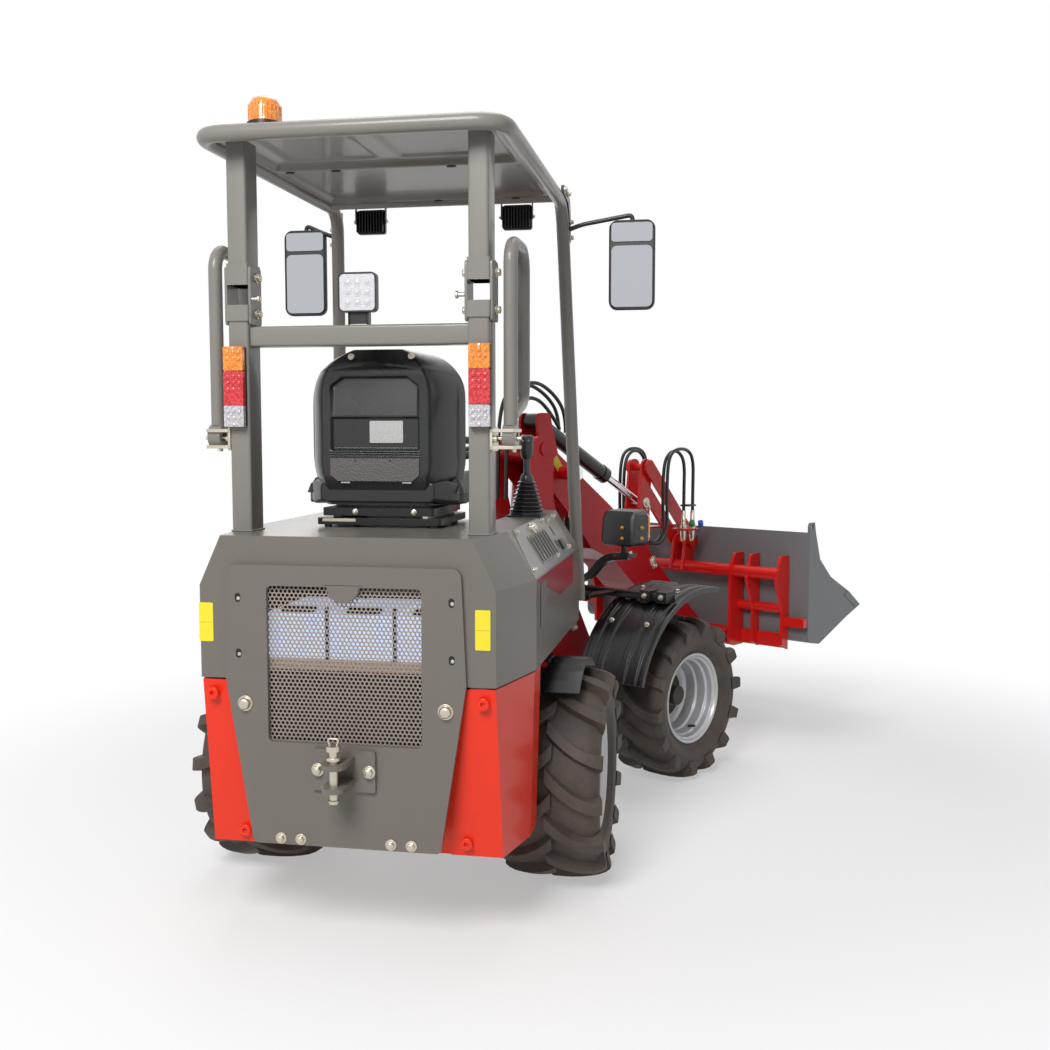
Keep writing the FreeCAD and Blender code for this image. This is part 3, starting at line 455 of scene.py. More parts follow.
class Form:
    """A mesh built up from simple shapes in one frame of the machine, in that frame's millimetres."""

    def __init__(self, place: Place) -> None:
        """Starts an empty mesh in a frame."""
        self.place = place
        self.mesh = bmesh.new()

    def _add(self, verts: Iterable[Point], faces: Iterable[Sequence[int]], material: int = 0) -> None:
        """Adds points and faces."""
        made = [self.mesh.verts.new(v) for v in verts]
        for loop in faces:
            face = self.mesh.faces.new([made[i] for i in loop])
            face.material_index = material

    def box(self, low: Point, high: Point, material: int = 0) -> "Form":
        """Adds a box from its lowest corner to its highest."""
        spots = [(x, y, z) for z in (low[2], high[2]) for y in (low[1], high[1]) for x in (low[0], high[0])]
        faces = ((0, 2, 3, 1), (4, 5, 7, 6), (0, 1, 5, 4), (2, 6, 7, 3), (0, 4, 6, 2), (1, 3, 7, 5))
        self._add(spots, faces, material)
        return self

    def turned(self, start: Point, along: Point, profile: Sequence[tuple[float, float]], steps: int = 32,
               material: int = 0, closed: bool = False) -> "Form":
        """Adds a turned shape.

        Args:
            start: a point of the axis.
            along: the direction of the axis.
            profile: (distance along the axis, radius) pairs, ends capped unless closed.
            steps: sides round the axis.
            material: the material's index.
            closed: joins the profile's last ring to its first.

        Returns:
            The form itself.
        """
        turn = Vector(along).to_track_quat("Z", "Y").to_matrix()
        start = Vector(start)
        verts = [start + turn @ Vector((r * math.cos(a), r * math.sin(a), t)) for t, r in profile
                 for a in (2 * math.pi * k / steps for k in range(steps))]
        rings = len(profile)
        faces = []
        for ring in range(rings if closed else rings - 1):
            a, b = ring * steps, ((ring + 1) % rings) * steps
            faces += [(a + k, a + (k + 1) % steps, b + (k + 1) % steps, b + k) for k in range(steps)]
        if not closed:
            faces.append(tuple(reversed(range(steps))))
            faces.append(tuple(range((rings - 1) * steps, rings * steps)))
        self._add(verts, faces, material)
        return self

    def rod(self, a: Point, b: Point, radius: float, steps: int = 24, material: int = 0) -> "Form":
        """Adds a round bar between two points, its ends lightly chamfered."""
        span = Vector(b) - Vector(a)
        edge = min(radius * 0.12, span.length * 0.2)
        profile = ((0, radius - edge), (edge, radius), (span.length - edge, radius), (span.length, radius - edge))
        return self.turned(a, span, profile, steps, material)

    def bolt(self, spot: Point, out: Point, across: float = 19.0, washer: float = 0.0, material: int = 0) -> "Form":
        """Adds a hexagon bolt head.

        Args:
            spot: where it sits.
            out: the way it points.
            across: its width over the flats.
            washer: radius of the washer under it, or 0.
            material: the material's index.

        Returns:
            The form itself.
        """
        out = Vector(out).normalized()
        spot = Vector(spot)
        if washer:
            self.turned(spot, out, ((0, washer), (2.2, washer), (2.8, washer - 1.0)), 28, material)
            spot = spot + out * 2.8
        r, tall = across / math.sqrt(3), across * 0.58
        self.turned(spot, out, ((0, r), (tall * 0.82, r), (tall, r * 0.8)), 6, material)
        self.turned(spot + out * tall, out, ((0, r * 0.6), (0.8, r * 0.5)), 16, material)
        return self

    def prism(self, outline: Sequence[tuple[float, float]], plane: str, low: float, high: float,
              material: int = 0) -> "Form":
        """Adds a prism.

        Args:
            outline: its corners in the plane.
            plane: the plane of the outline, XY, XZ or YZ.
            low: where it starts across the plane.
            high: where it ends.
            material: the material's index.

        Returns:
            The form itself.
        """
        lay: dict[str, Callable[[float, float, float], Point]] = {
            "XY": lambda u, v, w: (u, v, w), "XZ": lambda u, v, w: (u, w, v), "YZ": lambda u, v, w: (w, u, v)}
        verts = [lay[plane](u, v, w) for w in (low, high) for u, v in outline]
        n = len(outline)
        faces = [tuple(range(n)), tuple(range(2 * n - 1, n - 1, -1))]
        faces += [(k, k + n, (k + 1) % n + n, (k + 1) % n) for k in range(n)]
        self._add(verts, faces, material)
        return self

    def slab(self, low: Point, high: Point, plane: str, radius: float, material: int = 0) -> "Form":
        """Adds a block whose outline has rounded corners.

        Args:
            low: lowest corner.
            high: highest corner.
            plane: the plane of the rounded outline, YZ, XZ or XY.
            radius: corner radius.
            material: the material's index.

        Returns:
            The form itself.
        """
        u, v, w = {"YZ": (1, 2, 0), "XZ": (0, 2, 1), "XY": (0, 1, 2)}[plane]
        outline = rounded_box(low[u], high[u], low[v], high[v], radius)
        return self.prism(outline, plane, low[w], high[w], material)

    def loft(self, sections: Sequence[Sequence[Point]], material: int = 0) -> "Form":
        """Adds a skin over closed sections of equal point counts, its ends capped."""
        n, verts = len(sections[0]), [spot for section in sections for spot in section]
        faces = [(i * n + k, i * n + (k + 1) % n, (i + 1) * n + (k + 1) % n, (i + 1) * n + k)
                 for i in range(len(sections) - 1) for k in range(n)]
        faces.append(tuple(reversed(range(n))))
        faces.append(tuple(range((len(sections) - 1) * n, len(sections) * n)))
        self._add(verts, faces, material)
        return self

    def field(self, columns: int, rows: int, spot: Callable[[float, float], Point], material: int = 0) -> "Form":
        """Adds an open surface.

        Args:
            columns: faces across.
            rows: faces up.
            spot: gives a point by its shares across and up.
            material: the material's index.

        Returns:
            The form itself.
        """
        verts = [spot(c / columns, r / rows) for r in range(rows + 1) for c in range(columns + 1)]
        step = columns + 1
        faces = [(r * step + c, r * step + c + 1, (r + 1) * step + c + 1, (r + 1) * step + c)
                 for r in range(rows) for c in range(columns)]
        self._add(verts, faces, material)
        return self

    def pipe(self, points: Sequence[Point], radius: float, steps: int = 12, material: int = 0,
             spans: int = 6) -> "Form":
        """Adds a round tube along a line, its ends capped.

        Args:
            points: the points that the line runs through.
            radius: the tube's radius.
            steps: sides round the tube.
            material: the material's index.
            spans: steps from each point to the next.

        Returns:
            The form itself.
        """
        line = curve_through([Vector(p) for p in points], spans)
        side = (line[1] - line[0]).orthogonal().normalized()
        verts, n = [], len(line)
        for i, spot in enumerate(line):
            ahead = (line[min(i + 1, n - 1)] - line[max(i - 1, 0)]).normalized()
            side = (side - ahead * side.dot(ahead)).normalized()
            other = ahead.cross(side)
            verts += [spot + radius * (side * math.cos(a) + other * math.sin(a))
                      for a in (2 * math.pi * k / steps for k in range(steps))]
        faces = [(i * steps + k, i * steps + (k + 1) % steps, (i + 1) * steps + (k + 1) % steps, (i + 1) * steps + k)
                 for i in range(n - 1) for k in range(steps)]
        faces.append(tuple(reversed(range(steps))))
        faces.append(tuple(range((n - 1) * steps, n * steps)))
        self._add(verts, faces, material)
        return self

    def make(self, name: str, materials: Sequence[bpy.types.Material], body: "Body", slot: str,
             bevel: float = 0.0, angle: float = 35.0, replaces: Sequence[str] = (),
             subdivide: int = 0) -> bpy.types.Object:
        """Turns the mesh into a piece that rides on a body.

        Args:
            name: the piece's name.
            materials: its materials, by face index.
            body: the body that it rides on.
            slot: the record's material slot; not used.
            bevel: width of rounded edges in millimetres, or 0.
            angle: edges sharper than this stay sharp, in degrees.
            replaces: CAD nodes that it stands for.
            subdivide: levels of subdivision surface.

        Returns:
            The piece.
        """
        bmesh.ops.recalc_face_normals(self.mesh, faces=self.mesh.faces)
        self.mesh.transform(self.place.matrix @ Matrix.Scale(MM, 4))
        data = bpy.data.meshes.new(name)
        self.mesh.to_mesh(data)
        self.mesh.free()
        piece = bpy.data.objects.new(name, data)
        bpy.context.scene.collection.objects.link(piece)
        for material in materials:
            data.materials.append(material)
        if bevel:
            edge = piece.modifiers.new("Edges", "BEVEL")
            edge.width, edge.segments, edge.limit_method = bevel * MM, 2, "ANGLE"
            edge.angle_limit = math.radians(angle)
        if subdivide:
            rounds = piece.modifiers.new("Smooth", "SUBSURF")
            rounds.levels = rounds.render_levels = subdivide
        smooth(piece, angle)
        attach(piece, body.value)
        if replaces:
            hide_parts(*replaces)
        LOG.info("%s: %d faces on %s", name, len(data.polygons), body.value)
        return piece


def smooth(piece: bpy.types.Object, angle: float) -> None:
    """Shades a mesh smooth, apart from edges sharper than an angle in degrees."""
    data = piece.data
    data.polygons.foreach_set("use_smooth", [True] * len(data.polygons))
    shape = bmesh.new()
    shape.from_mesh(data)
    for edge in shape.edges:
        edge.smooth = len(edge.link_faces) == 2 and edge.calc_face_angle(0.0) < math.radians(angle)
    shape.to_mesh(data)
    shape.free()


def rounded_box(u0: float, u1: float, v0: float, v1: float, radius: float,
                steps: int = 5) -> list[tuple[float, float]]:
    """The outline of a rectangle with rounded corners.

    Args:
        u0: its lowest place across.
        u1: its highest place across.
        v0: its lowest place up.
        v1: its highest place up.
        radius: the corners' radius.
        steps: steps round each corner.

    Returns:
        The outline's points.
    """
    outline = []
    for u, v, start in ((u1 - radius, v1 - radius, 0), (u0 + radius, v1 - radius, 90),
                        (u0 + radius, v0 + radius, 180), (u1 - radius, v0 + radius, 270)):
        for k in range(steps + 1):
            a = math.radians(start + 90 * k / steps)
            outline.append((u + radius * math.cos(a), v + radius * math.sin(a)))
    return outline


def elbowed(points: Sequence[Point], radius: float, steps: int = 6) -> list[Vector]:
    """The line of a bent steel tube, straight between its elbows.

    Args:
        points: its ends and the corners between them.
        radius: how far an elbow reaches from its corner.
        steps: steps round each elbow.

    Returns:
        The line's points.
    """
    spots = [Vector(p) for p in points]
    line = [spots[0]]
    for before, here, after in zip(spots, spots[1:], spots[2:]):
        back, ahead = (before - here).normalized(), (after - here).normalized()
        reach = min(radius, (before - here).length * 0.45, (after - here).length * 0.45)
        for k in range(steps + 1):
            t = k / steps
            line.append(here + back * reach * (1 - t) ** 2 + ahead * reach * t ** 2)
    return line + [spots[-1]]


def eased(value: float, low: float, high: float) -> float:
    """0 below low, 1 above high, and a smooth rise between them."""
    t = min(1.0, max(0.0, (value - low) / (high - low)))
    return t * t * (3 - 2 * t)


def curve_through(points: Sequence[Vector], steps: int) -> list[Vector]:
    """A Catmull-Rom line through points, with that many steps a span."""
    if len(points) == 2 or steps == 1:
        return list(points)
    ends = [points[0] * 2 - points[1], *points, points[-1] * 2 - points[-2]]
    line = []
    for a, b, c, d in zip(ends, ends[1:], ends[2:], ends[3:]):
        for k in range(steps):
            t = k / steps
            line.append(0.5 * (2 * b + (c - a) * t + (2 * a - 5 * b + 4 * c - d) * t ** 2
                               + (3 * b - a - 3 * c + d) * t ** 3))
    return line + [points[-1]]


# ---------------------------------------------------------------- dressing of the frame's own nodes


@dataclass
class Dressing:
    """Gives each CAD node that stays on show its finish."""

    finishes: Finishes
    wear: dict[str, str] = field(default_factory=lambda: {
        "rear_chassis": "frame_red", "rear_axle": "axle_black", "battery_pack": "battery_blue",
        "body_cover": "cover_grey", "side_boxes": "body_red", "rear_plate": "cover_grey", "grille": "grille_steel",
        "tow_bracket": "cover_grey", "tow_pin": "zinc_steel", "rops_lower": "post_grey", "rops_hinges": "dark_steel",
        "rops_upper": "post_grey", "roof_panel": "post_grey", "beacon": "amber_lens", "tail_lamps": "red_lens",
        "work_lamp_rear": "lamp_black", "work_lamps_front": "lamp_black", "mirrors": "black_plastic",
        "seat_base": "black_steel", "seat_cushion": "seat_vinyl", "seat_back": "seat_shell",
        "steering_column": "black_plastic", "steering_wheel": "black_plastic", "joystick": "black_rubber",
        "floor_plate": "tread_plate", "rear_fenders": "fender_black", "bar_brackets": "zinc_steel",
        "safety_bar_left": "post_grey", "safety_bar_right": "post_grey", "front_chassis": "frame_red",
        "front_axle": "axle_black", "front_fenders": "black_plastic", "lamp_arms": "black_steel",
        "headlamps": "lamp_black", "boom": "frame_red", "tilt_lever": "carrier_red", "tilt_link": "carrier_red",
        "tilt_barrel": "cylinder_black", "tilt_rod": "rod_chrome", "lift_barrels": "cylinder_black",
        "lift_rods": "rod_chrome", "steer_barrel": "cylinder_black", "steer_rod": "rod_chrome",
        "tool_carrier": "carrier_red", "bucket": "bucket_grey", "bucket_ears": "bucket_grey"})

    def build(self) -> None:
        """Dresses every node, tyres and rims included."""
        for node, piece in frame["nodes"].items():
            kind = self.wear.get(node, "tyre_rubber" if node.startswith("tyre_") else "rim_silver")
            piece.data.materials.clear()
            piece.data.materials.append(self.finishes[kind])


# ---------------------------------------------------------------- hoses


@dataclass
class Hoses:
    """The hoses beside the link and over the boom's foot, each one length of 14 mm hydraulic hose."""

    finishes: Finishes
    diameter: float = 0.014
    near_end: float = 1.162

    def build(self) -> None:
        """Lays every hose, and the couplers at the attachment hoses' ends."""
        for side in Side:
            for across, end, rise, length in ((0.100, self.near_end, 0.0, 0.881), (0.120, 1.198, 0.009, 0.934)):
                self._attachment_hose(side, across, end, rise, length)
        self._tilt_hoses()

    def _attachment_hose(self, side: Side, across: float, end: float, rise: float, length: float) -> None:
        """One hose from the boom, up over the link and down to its coupler.

        Args:
            side: the machine's side.
            across: distance from the middle in metres.
            end: forward place of the coupler in metres.
            rise: how far its arch stands over the lower one's.
            length: the hose's real length in metres.
        """
        y, wide, top = side.value * across, end - self.near_end, 1.171 + rise
        route = [(0.862, y, 0.846), (0.907, y, 0.800), (0.970, y, 0.800), (1.015, y, 0.845), (1.008, y, 0.988),
                 (1.015, y, 1.126 + rise), (1.060, y, top), (1.120 + wide, y, top), (1.165 + wide, y, 1.126 + rise),
                 (end, y, 1.002), (end, y, 0.884)]
        number = 1 if wide == 0 else 2
        name = f"{side.name.lower()}_{number}"
        cap = "cap_blue" if side is Side.RIGHT and wide else "cap_green"
        coupler = self._coupler(name, side, end * 1000, y * 1000, cap)
        self._cord(f"attachment_hose_{name}", route, length, Body.LINK)

    def _coupler(self, name: str, side: Side, x: float, y: float, cap: str) -> bpy.types.Object:
        """The quick coupler at a hose's end, its brass nut below and its dust cap beside it.

        Args:
            name: which coupler it is.
            side: the machine's side.
            x: forward place in the front frame.
            y: sideways place in the front frame.
            cap: the dust cap's finish.

        Returns:
            The piece.
        """
        form = Form(FRONT)
        body = ((0, 11), (10, 12), (14, 14), (38, 14), (46, 15), (60, 15), (62, 12), (70, 12), (72, 10), (84, 10))
        form.turned((x, y, 800), (0, 0, 1), body, 28, 0)
        for k in range(8):
            around = Vector((14.5 * math.cos(math.tau * k / 8), 14.5 * math.sin(math.tau * k / 8), 0))
            form.rod(Vector((x, y, 848)) + around, Vector((x, y, 858)) + around, 2, 8, 0)
        form.turned((x, y, 876), (0, 0, 1), ((0, 10), (12, 10), (14, 9), (42, 9), (46, 8)), 20, 0)
        form.turned((x, y, 792), (0, 0, 1), ((0, 10), (8, 10)), 6, 2)
        spot = Vector((x + 22, y + side.value * 16, 866))
        form.turned(spot, (0.4, side.value, 0.1), ((0, 12), (3, 14), (16, 14), (19, 12)), 28, 1)
        form.pipe([spot, spot + Vector((4, 0, -34)), Vector((x + 4, y, 806))], 1.6, 8, 1)
        finishes = self.finishes.pick("zinc_steel", cap, "brass")
        return form.make(f"coupler_{name}", finishes, Body.LINK, "zinc_steel", bevel=0.7)

    def _tilt_hoses(self) -> None:
        """The three hoses that rise ahead of the seat and arch over to the tilt cylinder."""
        route = [(0.172, 0, 1.010), (0.172, 0, 1.120), (0.178, 0, 1.244), (0.222, 0, 1.344), (0.305, 0, 1.384),
                 (0.400, 0, 1.345), (0.470, 0, 1.262)]
        self._cord("tilt_hose_middle", route, 0.637, Body.TILT)
        for name, y, low, back, end, length in (("right", -0.020, 0, 0, 1.246, 0.792),
                                                ("left", 0.020, 0.006, -0.008, 1.242, 0.795)):
            route = [(0.150, y, 1.010), (0.150, y, 1.120), (0.156, y, 1.300 - low), (0.200 + back, y, 1.400 - low),
                     (0.305, y, 1.440 - low), (0.415 - back, y, 1.392 - low), (0.482 - back, y, 1.320 - low),
                     (0.482 - back, y, end)]
            self._cord(f"tilt_hose_{name}", route, length, Body.TILT)

    def _cord(self, name: str, route: Sequence[Point], length: float, body: Body) -> None:
        """Makes one hose as a smooth curve.

        Args:
            name: the piece's name.
            route: the curve's control points, in the front frame's metres.
            length: the hose's real length in metres.
            body: the body that it rides on.
        """
        curve = bpy.data.curves.new(name, "CURVE")
        curve.dimensions = "3D"
        curve.bevel_depth, curve.bevel_resolution, curve.resolution_u = self.diameter / 2, 5, 14
        curve.use_fill_caps = True
        line = curve.splines.new("NURBS")
        line.points.add(len(route) - 1)
        spots = [FRONT.matrix @ Vector(spot) for spot in route]
        for point, spot in zip(line.points, spots):
            point.co = (*spot, 1.0)
        line.order_u = 3
        line.use_endpoint_u = True
        curve.materials.append(self.finishes["hose_rubber"])
        hose = bpy.data.objects.new(name, curve)
        bpy.context.scene.collection.objects.link(hose)
        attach(hose, body.value)
        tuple(spots[0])
        LOG.info("%s: a hose of %.3f m on %s", name, length, body.value)


# ---------------------------------------------------------------- wheels


@dataclass
class Wheel:
    """A tyre with swept lugs on a deep silver rim, all measured from the wheel's middle."""

    finishes: Finishes
    name: str
    place: Place
    axle_x: float
    side: Side
    body: Body
    radius: float = WHEEL_RADIUS
    middle: float = 428.0
    lugs: int = 14

    def build(self) -> None:
        """Builds tyre, rim and hub."""
        self._tyre()
        self._rim()
        self._hub()

    def _centre(self) -> Vector:
        """The middle of the tyre on the axle."""
        return Vector((self.axle_x, self.side.value * self.middle, self.radius))

    def _tyre(self) -> None:
        """The carcass with its ribbed sidewalls, and the lugs."""
        form = Form(self.place)
        half = [(100, 156), (108, 172), (121, 186), (124, 188), (129, 202), (132, 216), (130, 228), (132, 231),
                (127, 245), (118, 257), (92, 265), (45, 268)]
        section = half + [(0, 269)] + [(-m, r) for m, r in reversed(half)] + [(-100, 150), (100, 150)]
        form.turned(self._centre(), (0, self.side.value, 0), section, 96, 0, True)
        for hand in (1, -1):
            for i in range(self.lugs):
                start = 360 * (i + (0.5 if hand < 0 else 0)) / self.lugs
                self._lug(form, hand, start)
        form.make(f"tyre_{self.name}", self.finishes.pick("tyre_rubber"), self.body, "tyre_rubber", bevel=2.2,
                  angle=38, replaces=[f"tyre_{self.name}"])

    def _lug(self, form: Form, hand: int, start: float) -> None:
        """Adds one lug, swept back from the tread's middle to a square end on the shoulder.

        Args:
            form: the tyre's mesh.
            hand: the half of the tread, 1 for the left or -1.
            start: the lug's angle about the axle in degrees.
        """
        centre, sections = self._centre(), []
        stations = [(0.0, 291.4, 255, 26), (0.15, 291.8, 255, 27), (0.32, 291.5, 255, 28), (0.5, 290.5, 253, 29),
                    (0.66, 288, 250, 30), (0.8, 284, 244, 32), (0.92, 277, 234, 33), (1.0, 268, 224, 34)]
        for share, top, foot, wide in stations:
            across = -9 + share * 153
            turn = math.radians(start) + math.radians(17.5) * (1 - (1 - share) ** 1.9)
            lean = math.sqrt(1 + (1.1 * (1 - share) ** 0.9) ** 2)
            section = []
            for part, radius in ((-0.68, foot), (-0.56, top - 12), (-0.5, top), (0.5, top), (0.56, top - 12),
                                 (0.68, foot)):
                a = turn + part * wide * lean / radius
                y = min(across, 144 if radius > foot else 134)
                section.append(centre + Vector((radius * math.cos(a), hand * y, radius * math.sin(a))))
            sections.append(section)
        form.loft(sections)

    def _rim(self) -> None:
        """The rim, from its outer flange down the steps of the dish to the disc."""
        form = Form(self.place)
        section = [(-108, 152), (-108, 163), (-103, 164), (-99, 155), (-60, 150), (-50, 141), (50, 141), (60, 150),
                   (99, 155), (103, 164), (108, 165), (112, 161), (109, 154), (101, 150), (97, 143), (78, 140),
                   (72, 133), (40, 131), (34, 125), (-2, 121), (-12, 112), (-16, 66), (-8, 60), (-8, 34), (-22, 34),
                   (-24, 122), (-46, 134), (-100, 146)]
        form.turned(self._centre(), (0, self.side.value, 0), section, 96, 0, True)
        form.make(f"rim_{self.name}", self.finishes.pick("rim_silver"), self.body, "rim_silver", bevel=1.2, angle=24,
                  replaces=[f"rim_{self.name}"])

    def _hub(self) -> None:
        """The hub's dark face with its studs, and the valve."""
        form, out = Form(self.place), Vector((0, self.side.value, 0))
        centre = self._centre()
        face = ((0, 60), (12, 58), (14, 34), (24, 32), (27, 27), (27, 12), (22, 10))
        form.turned(centre - out * 26, out, face, 36, 0)
        for i in range(5):
            a = math.tau * (i + 0.25) / 5
            around = Vector((math.cos(a), 0, math.sin(a)))
            form.turned(centre + around * 47 - out * 9, out, ((0, 10), (2, 10), (2.6, 8.5)), 20, 1)
            form.bolt(centre + around * 47 - out * 7, out, 15, 0, 1)
            b = a + math.tau / 10
            away = Vector((math.cos(b), 0, math.sin(b)))
            form.turned(centre + away * 47 - out * 9, out, ((0, 5.5), (0.8, 5.5), (0.9, 4.0)), 14, 0)
        valve = [centre + Vector((x, self.side.value * y, z)) for x, y, z in ((42, 60, -118), (40, 92, -112))]
        form.rod(*valve, 4.5, 12, 0)
        form.make(f"hub_{self.name}", self.finishes.pick("black_steel", "zinc_steel"), self.body,
                  "black_steel", bevel=0.6)


# ---------------------------------------------------------------- rear end


@dataclass
class RearPanel:
    """The rear plate's perforated grille, the battery cases behind it, its bolts, slots and blank stickers."""

    finishes: Finishes
    face: float = -1366.0
    pitch: float = 10.8
    hole: float = 4.4
    rows: int = 41
    columns: int = 36

    def build(self) -> None:
        """Builds everything on and behind the rear plate."""
        self._grille()
        self._batteries()
        self._tab()
        self._fasteners()
        self._stickers()
        self._tow()

    def _grille(self) -> None:
        """A honeycomb of hexagons with a hexagonal hole in each."""
        form = Form(REAR)
        mesh = form.mesh
        outer, row = self.pitch / math.sqrt(3), self.pitch * math.sqrt(3) / 2
        corners = [math.radians(30 + 60 * k) for k in range(6)]
        x, deep = -1352.6, 2.2
        for r in range(self.rows):
            z = 506 + r * row + 3
            for c in range(self.columns):
                y = -190 + c * self.pitch + (self.pitch / 2 if r % 2 else 0) - 2.5
                rim, edge, inner = (
                    [mesh.verts.new((x + d, y + reach * math.cos(a), z + reach * math.sin(a))) for a in corners]
                    for d, reach in ((0.0, outer), (0.0, self.hole), (deep, self.hole)))
                for k in range(6):
                    n = (k + 1) % 6
                    mesh.faces.new((rim[k], edge[k], edge[n], rim[n]))
                    mesh.faces.new((edge[k], inner[k], inner[n], edge[n]))
        bmesh.ops.remove_doubles(mesh, verts=mesh.verts, dist=0.05)
        form.make("rear_grille", self.finishes.pick("grille_steel"), Body.REAR, "grille_steel", replaces=["grille"])

    def _batteries(self) -> None:
        """Pale cases on the tray's sand-coloured edge, both glowing as painted light, with black strips over the gaps
        and a black box and board below them as painted shade.
        """
        form = Form(REAR)
        for middle in (-28, -194, 138):
            low, high = max(-272, middle - 80), min(272, middle + 80)
            form.slab((-1318, low, 708), (-1040, high, 816), "YZ", 7, 0)
            for k in range(4):
                form.slab((-1321, low + 16 + k * 34, 722), (-1317, low + 28 + k * 34, 800), "YZ", 4, 0)
            form.slab((-1300, middle - 42, 816), (-1280, middle + 42, 828), "YZ", 5, 2)
        form.box((-1326, -274, 680), (-1030, 274, 707), 1)
        # a black box and a black board: painted shade over the body's red inside, seen through the grille
        form.box((-1300, -270, 600), (-1030, 270, 680), 2)
        form.box((-1342, -215, 498), (-1338, 215, 679), 2)
        # black strips over the gaps between the cases: painted shade
        for y in (56, -112, 224, -280):
            form.slab((-1324, y - 4, 700), (-1316, y + 4, 834), "YZ", 3, 2)
        form.rod((-1334, -40, 540), (-1334, -120, 560), 6, 16, 2)
        for y in (-95, 70):
            form.slab((-1310, y - 30, 530), (-1296, y + 30, 600), "YZ", 8, 2)
        form.make("battery_cases", self.finishes.pick("battery_blue", "tray_sand", "black_steel"),
                  Body.REAR, "battery_blue", bevel=1.5, replaces=["battery_pack"])

    def _tab(self) -> None:
        """The half-round tab at the window's top, and the side boxes' folded inner edges."""
        form = Form(REAR)
        disc = [(40 * math.cos(math.radians(a)), 892 + 42 * math.sin(math.radians(a))) for a in range(180, 361, 10)]
        form.prism([(-52, 892)] + disc + [(52, 892)], "YZ", self.face - 0.6, self.face + 12)
        form.make("window_tab", self.finishes.pick("cover_grey"), Body.REAR, "cover_grey", bevel=0.8)
        edges = Form(REAR)
        for side in Side:
            s = side.value
            fold = ((-1292, 205, 237), (-1292, 243, 237), (-1350, 303, 653), (-1350, 265, 653))
            edges.loft([[(x + d, s * y, z) for x, y, z in fold] for d in (0, 4)])
        edges.make("box_edges", self.finishes.pick("body_red"), Body.REAR, "body_red")

    def _fasteners(self) -> None:
        """Washered bolts, the two slots a side with a bolt in each, and the lugs on the side boxes."""
        bolts, slots, lugs, out = Form(REAR), Form(REAR), Form(REAR), (-1, 0, 0)
        for side in Side:
            s = side.value
            bolts.turned((self.face, s * 247, 603), out, ((0, 19), (2.4, 19), (3.2, 18)), 36)
            bolts.turned((self.face - 3, s * 247, 603), out, ((0, 14.5), (8, 14), (12, 11), (13, 8)), 32)
            for y in (112, 162):
                bolts.bolt((self.face, s * y, 277), out, 17, 14)
            bolts.bolt((-1376.2, s * 63, 453), out, 21, 16)
            for z in (858, 724):
                slots.slab((self.face - 0.5, s * 262 - 7, z - 11), (self.face + 0.4, s * 262 + 7, z + 11), "YZ", 6.8)
                bolts.turned((self.face - 0.4, s * 262 - 2, z - 2), out, ((0, 4.6), (1.2, 4.6), (1.6, 3.6)), 16)
            for y, z in ((334, 622), (281, 268)):
                x = -1352 if z > 500 else -1300
                lugs.turned((x, s * y, z), out, ((0, 15), (9, 15), (11, 12), (11, 6), (3, 6)), 28)
        bolts.make("panel_bolts", self.finishes.pick("zinc_steel"), Body.REAR, "zinc_steel", bevel=0.6)
        slots.make("panel_slots", self.finishes.pick("shadow_black"), Body.REAR, "black_plastic")
        lugs.make("box_lugs", self.finishes.pick("body_red"), Body.REAR, "body_red", bevel=1.0)

    def _stickers(self) -> None:
        """Blank yellow labels on the cover's rear face, each with a fine line across its middle."""
        form = Form(REAR)
        for middle in (-333, 349):
            form.slab((-1354.7, middle - 18, 748), (-1354, middle + 18, 842), "YZ", 3)
            form.slab((-1354.9, middle - 16, 794), (-1354.6, middle + 16, 795), "YZ", 0.4, 1)
        form.make("cover_labels", self.finishes.pick("sticker_yellow", "label_line"), Body.REAR, "cover_grey")

    def _tow(self) -> None:
        """The pin's collars, its small cross pin and its loop."""
        form = Form(REAR)
        form.turned((-1443, 0, 498), (0, 0, 1), ((0, 17), (6, 17), (8, 15)), 28)
        form.turned((-1443, 0, 396), (0, 0, 1), ((0, 12), (4, 13), (8, 13)), 28)
        form.rod((-1462, -8, 519), (-1424, 8, 519), 2.6, 12)
        loop = [(-1443, -8, 532), (-1443, -14, 548), (-1443, 14, 548), (-1443, 8, 532)]
        form.pipe(elbowed(loop, 12), 2.6, 10, 0, 1)
        form.make("tow_pin_fittings", self.finishes.pick("zinc_steel"), Body.REAR, "zinc_steel", bevel=0.6)


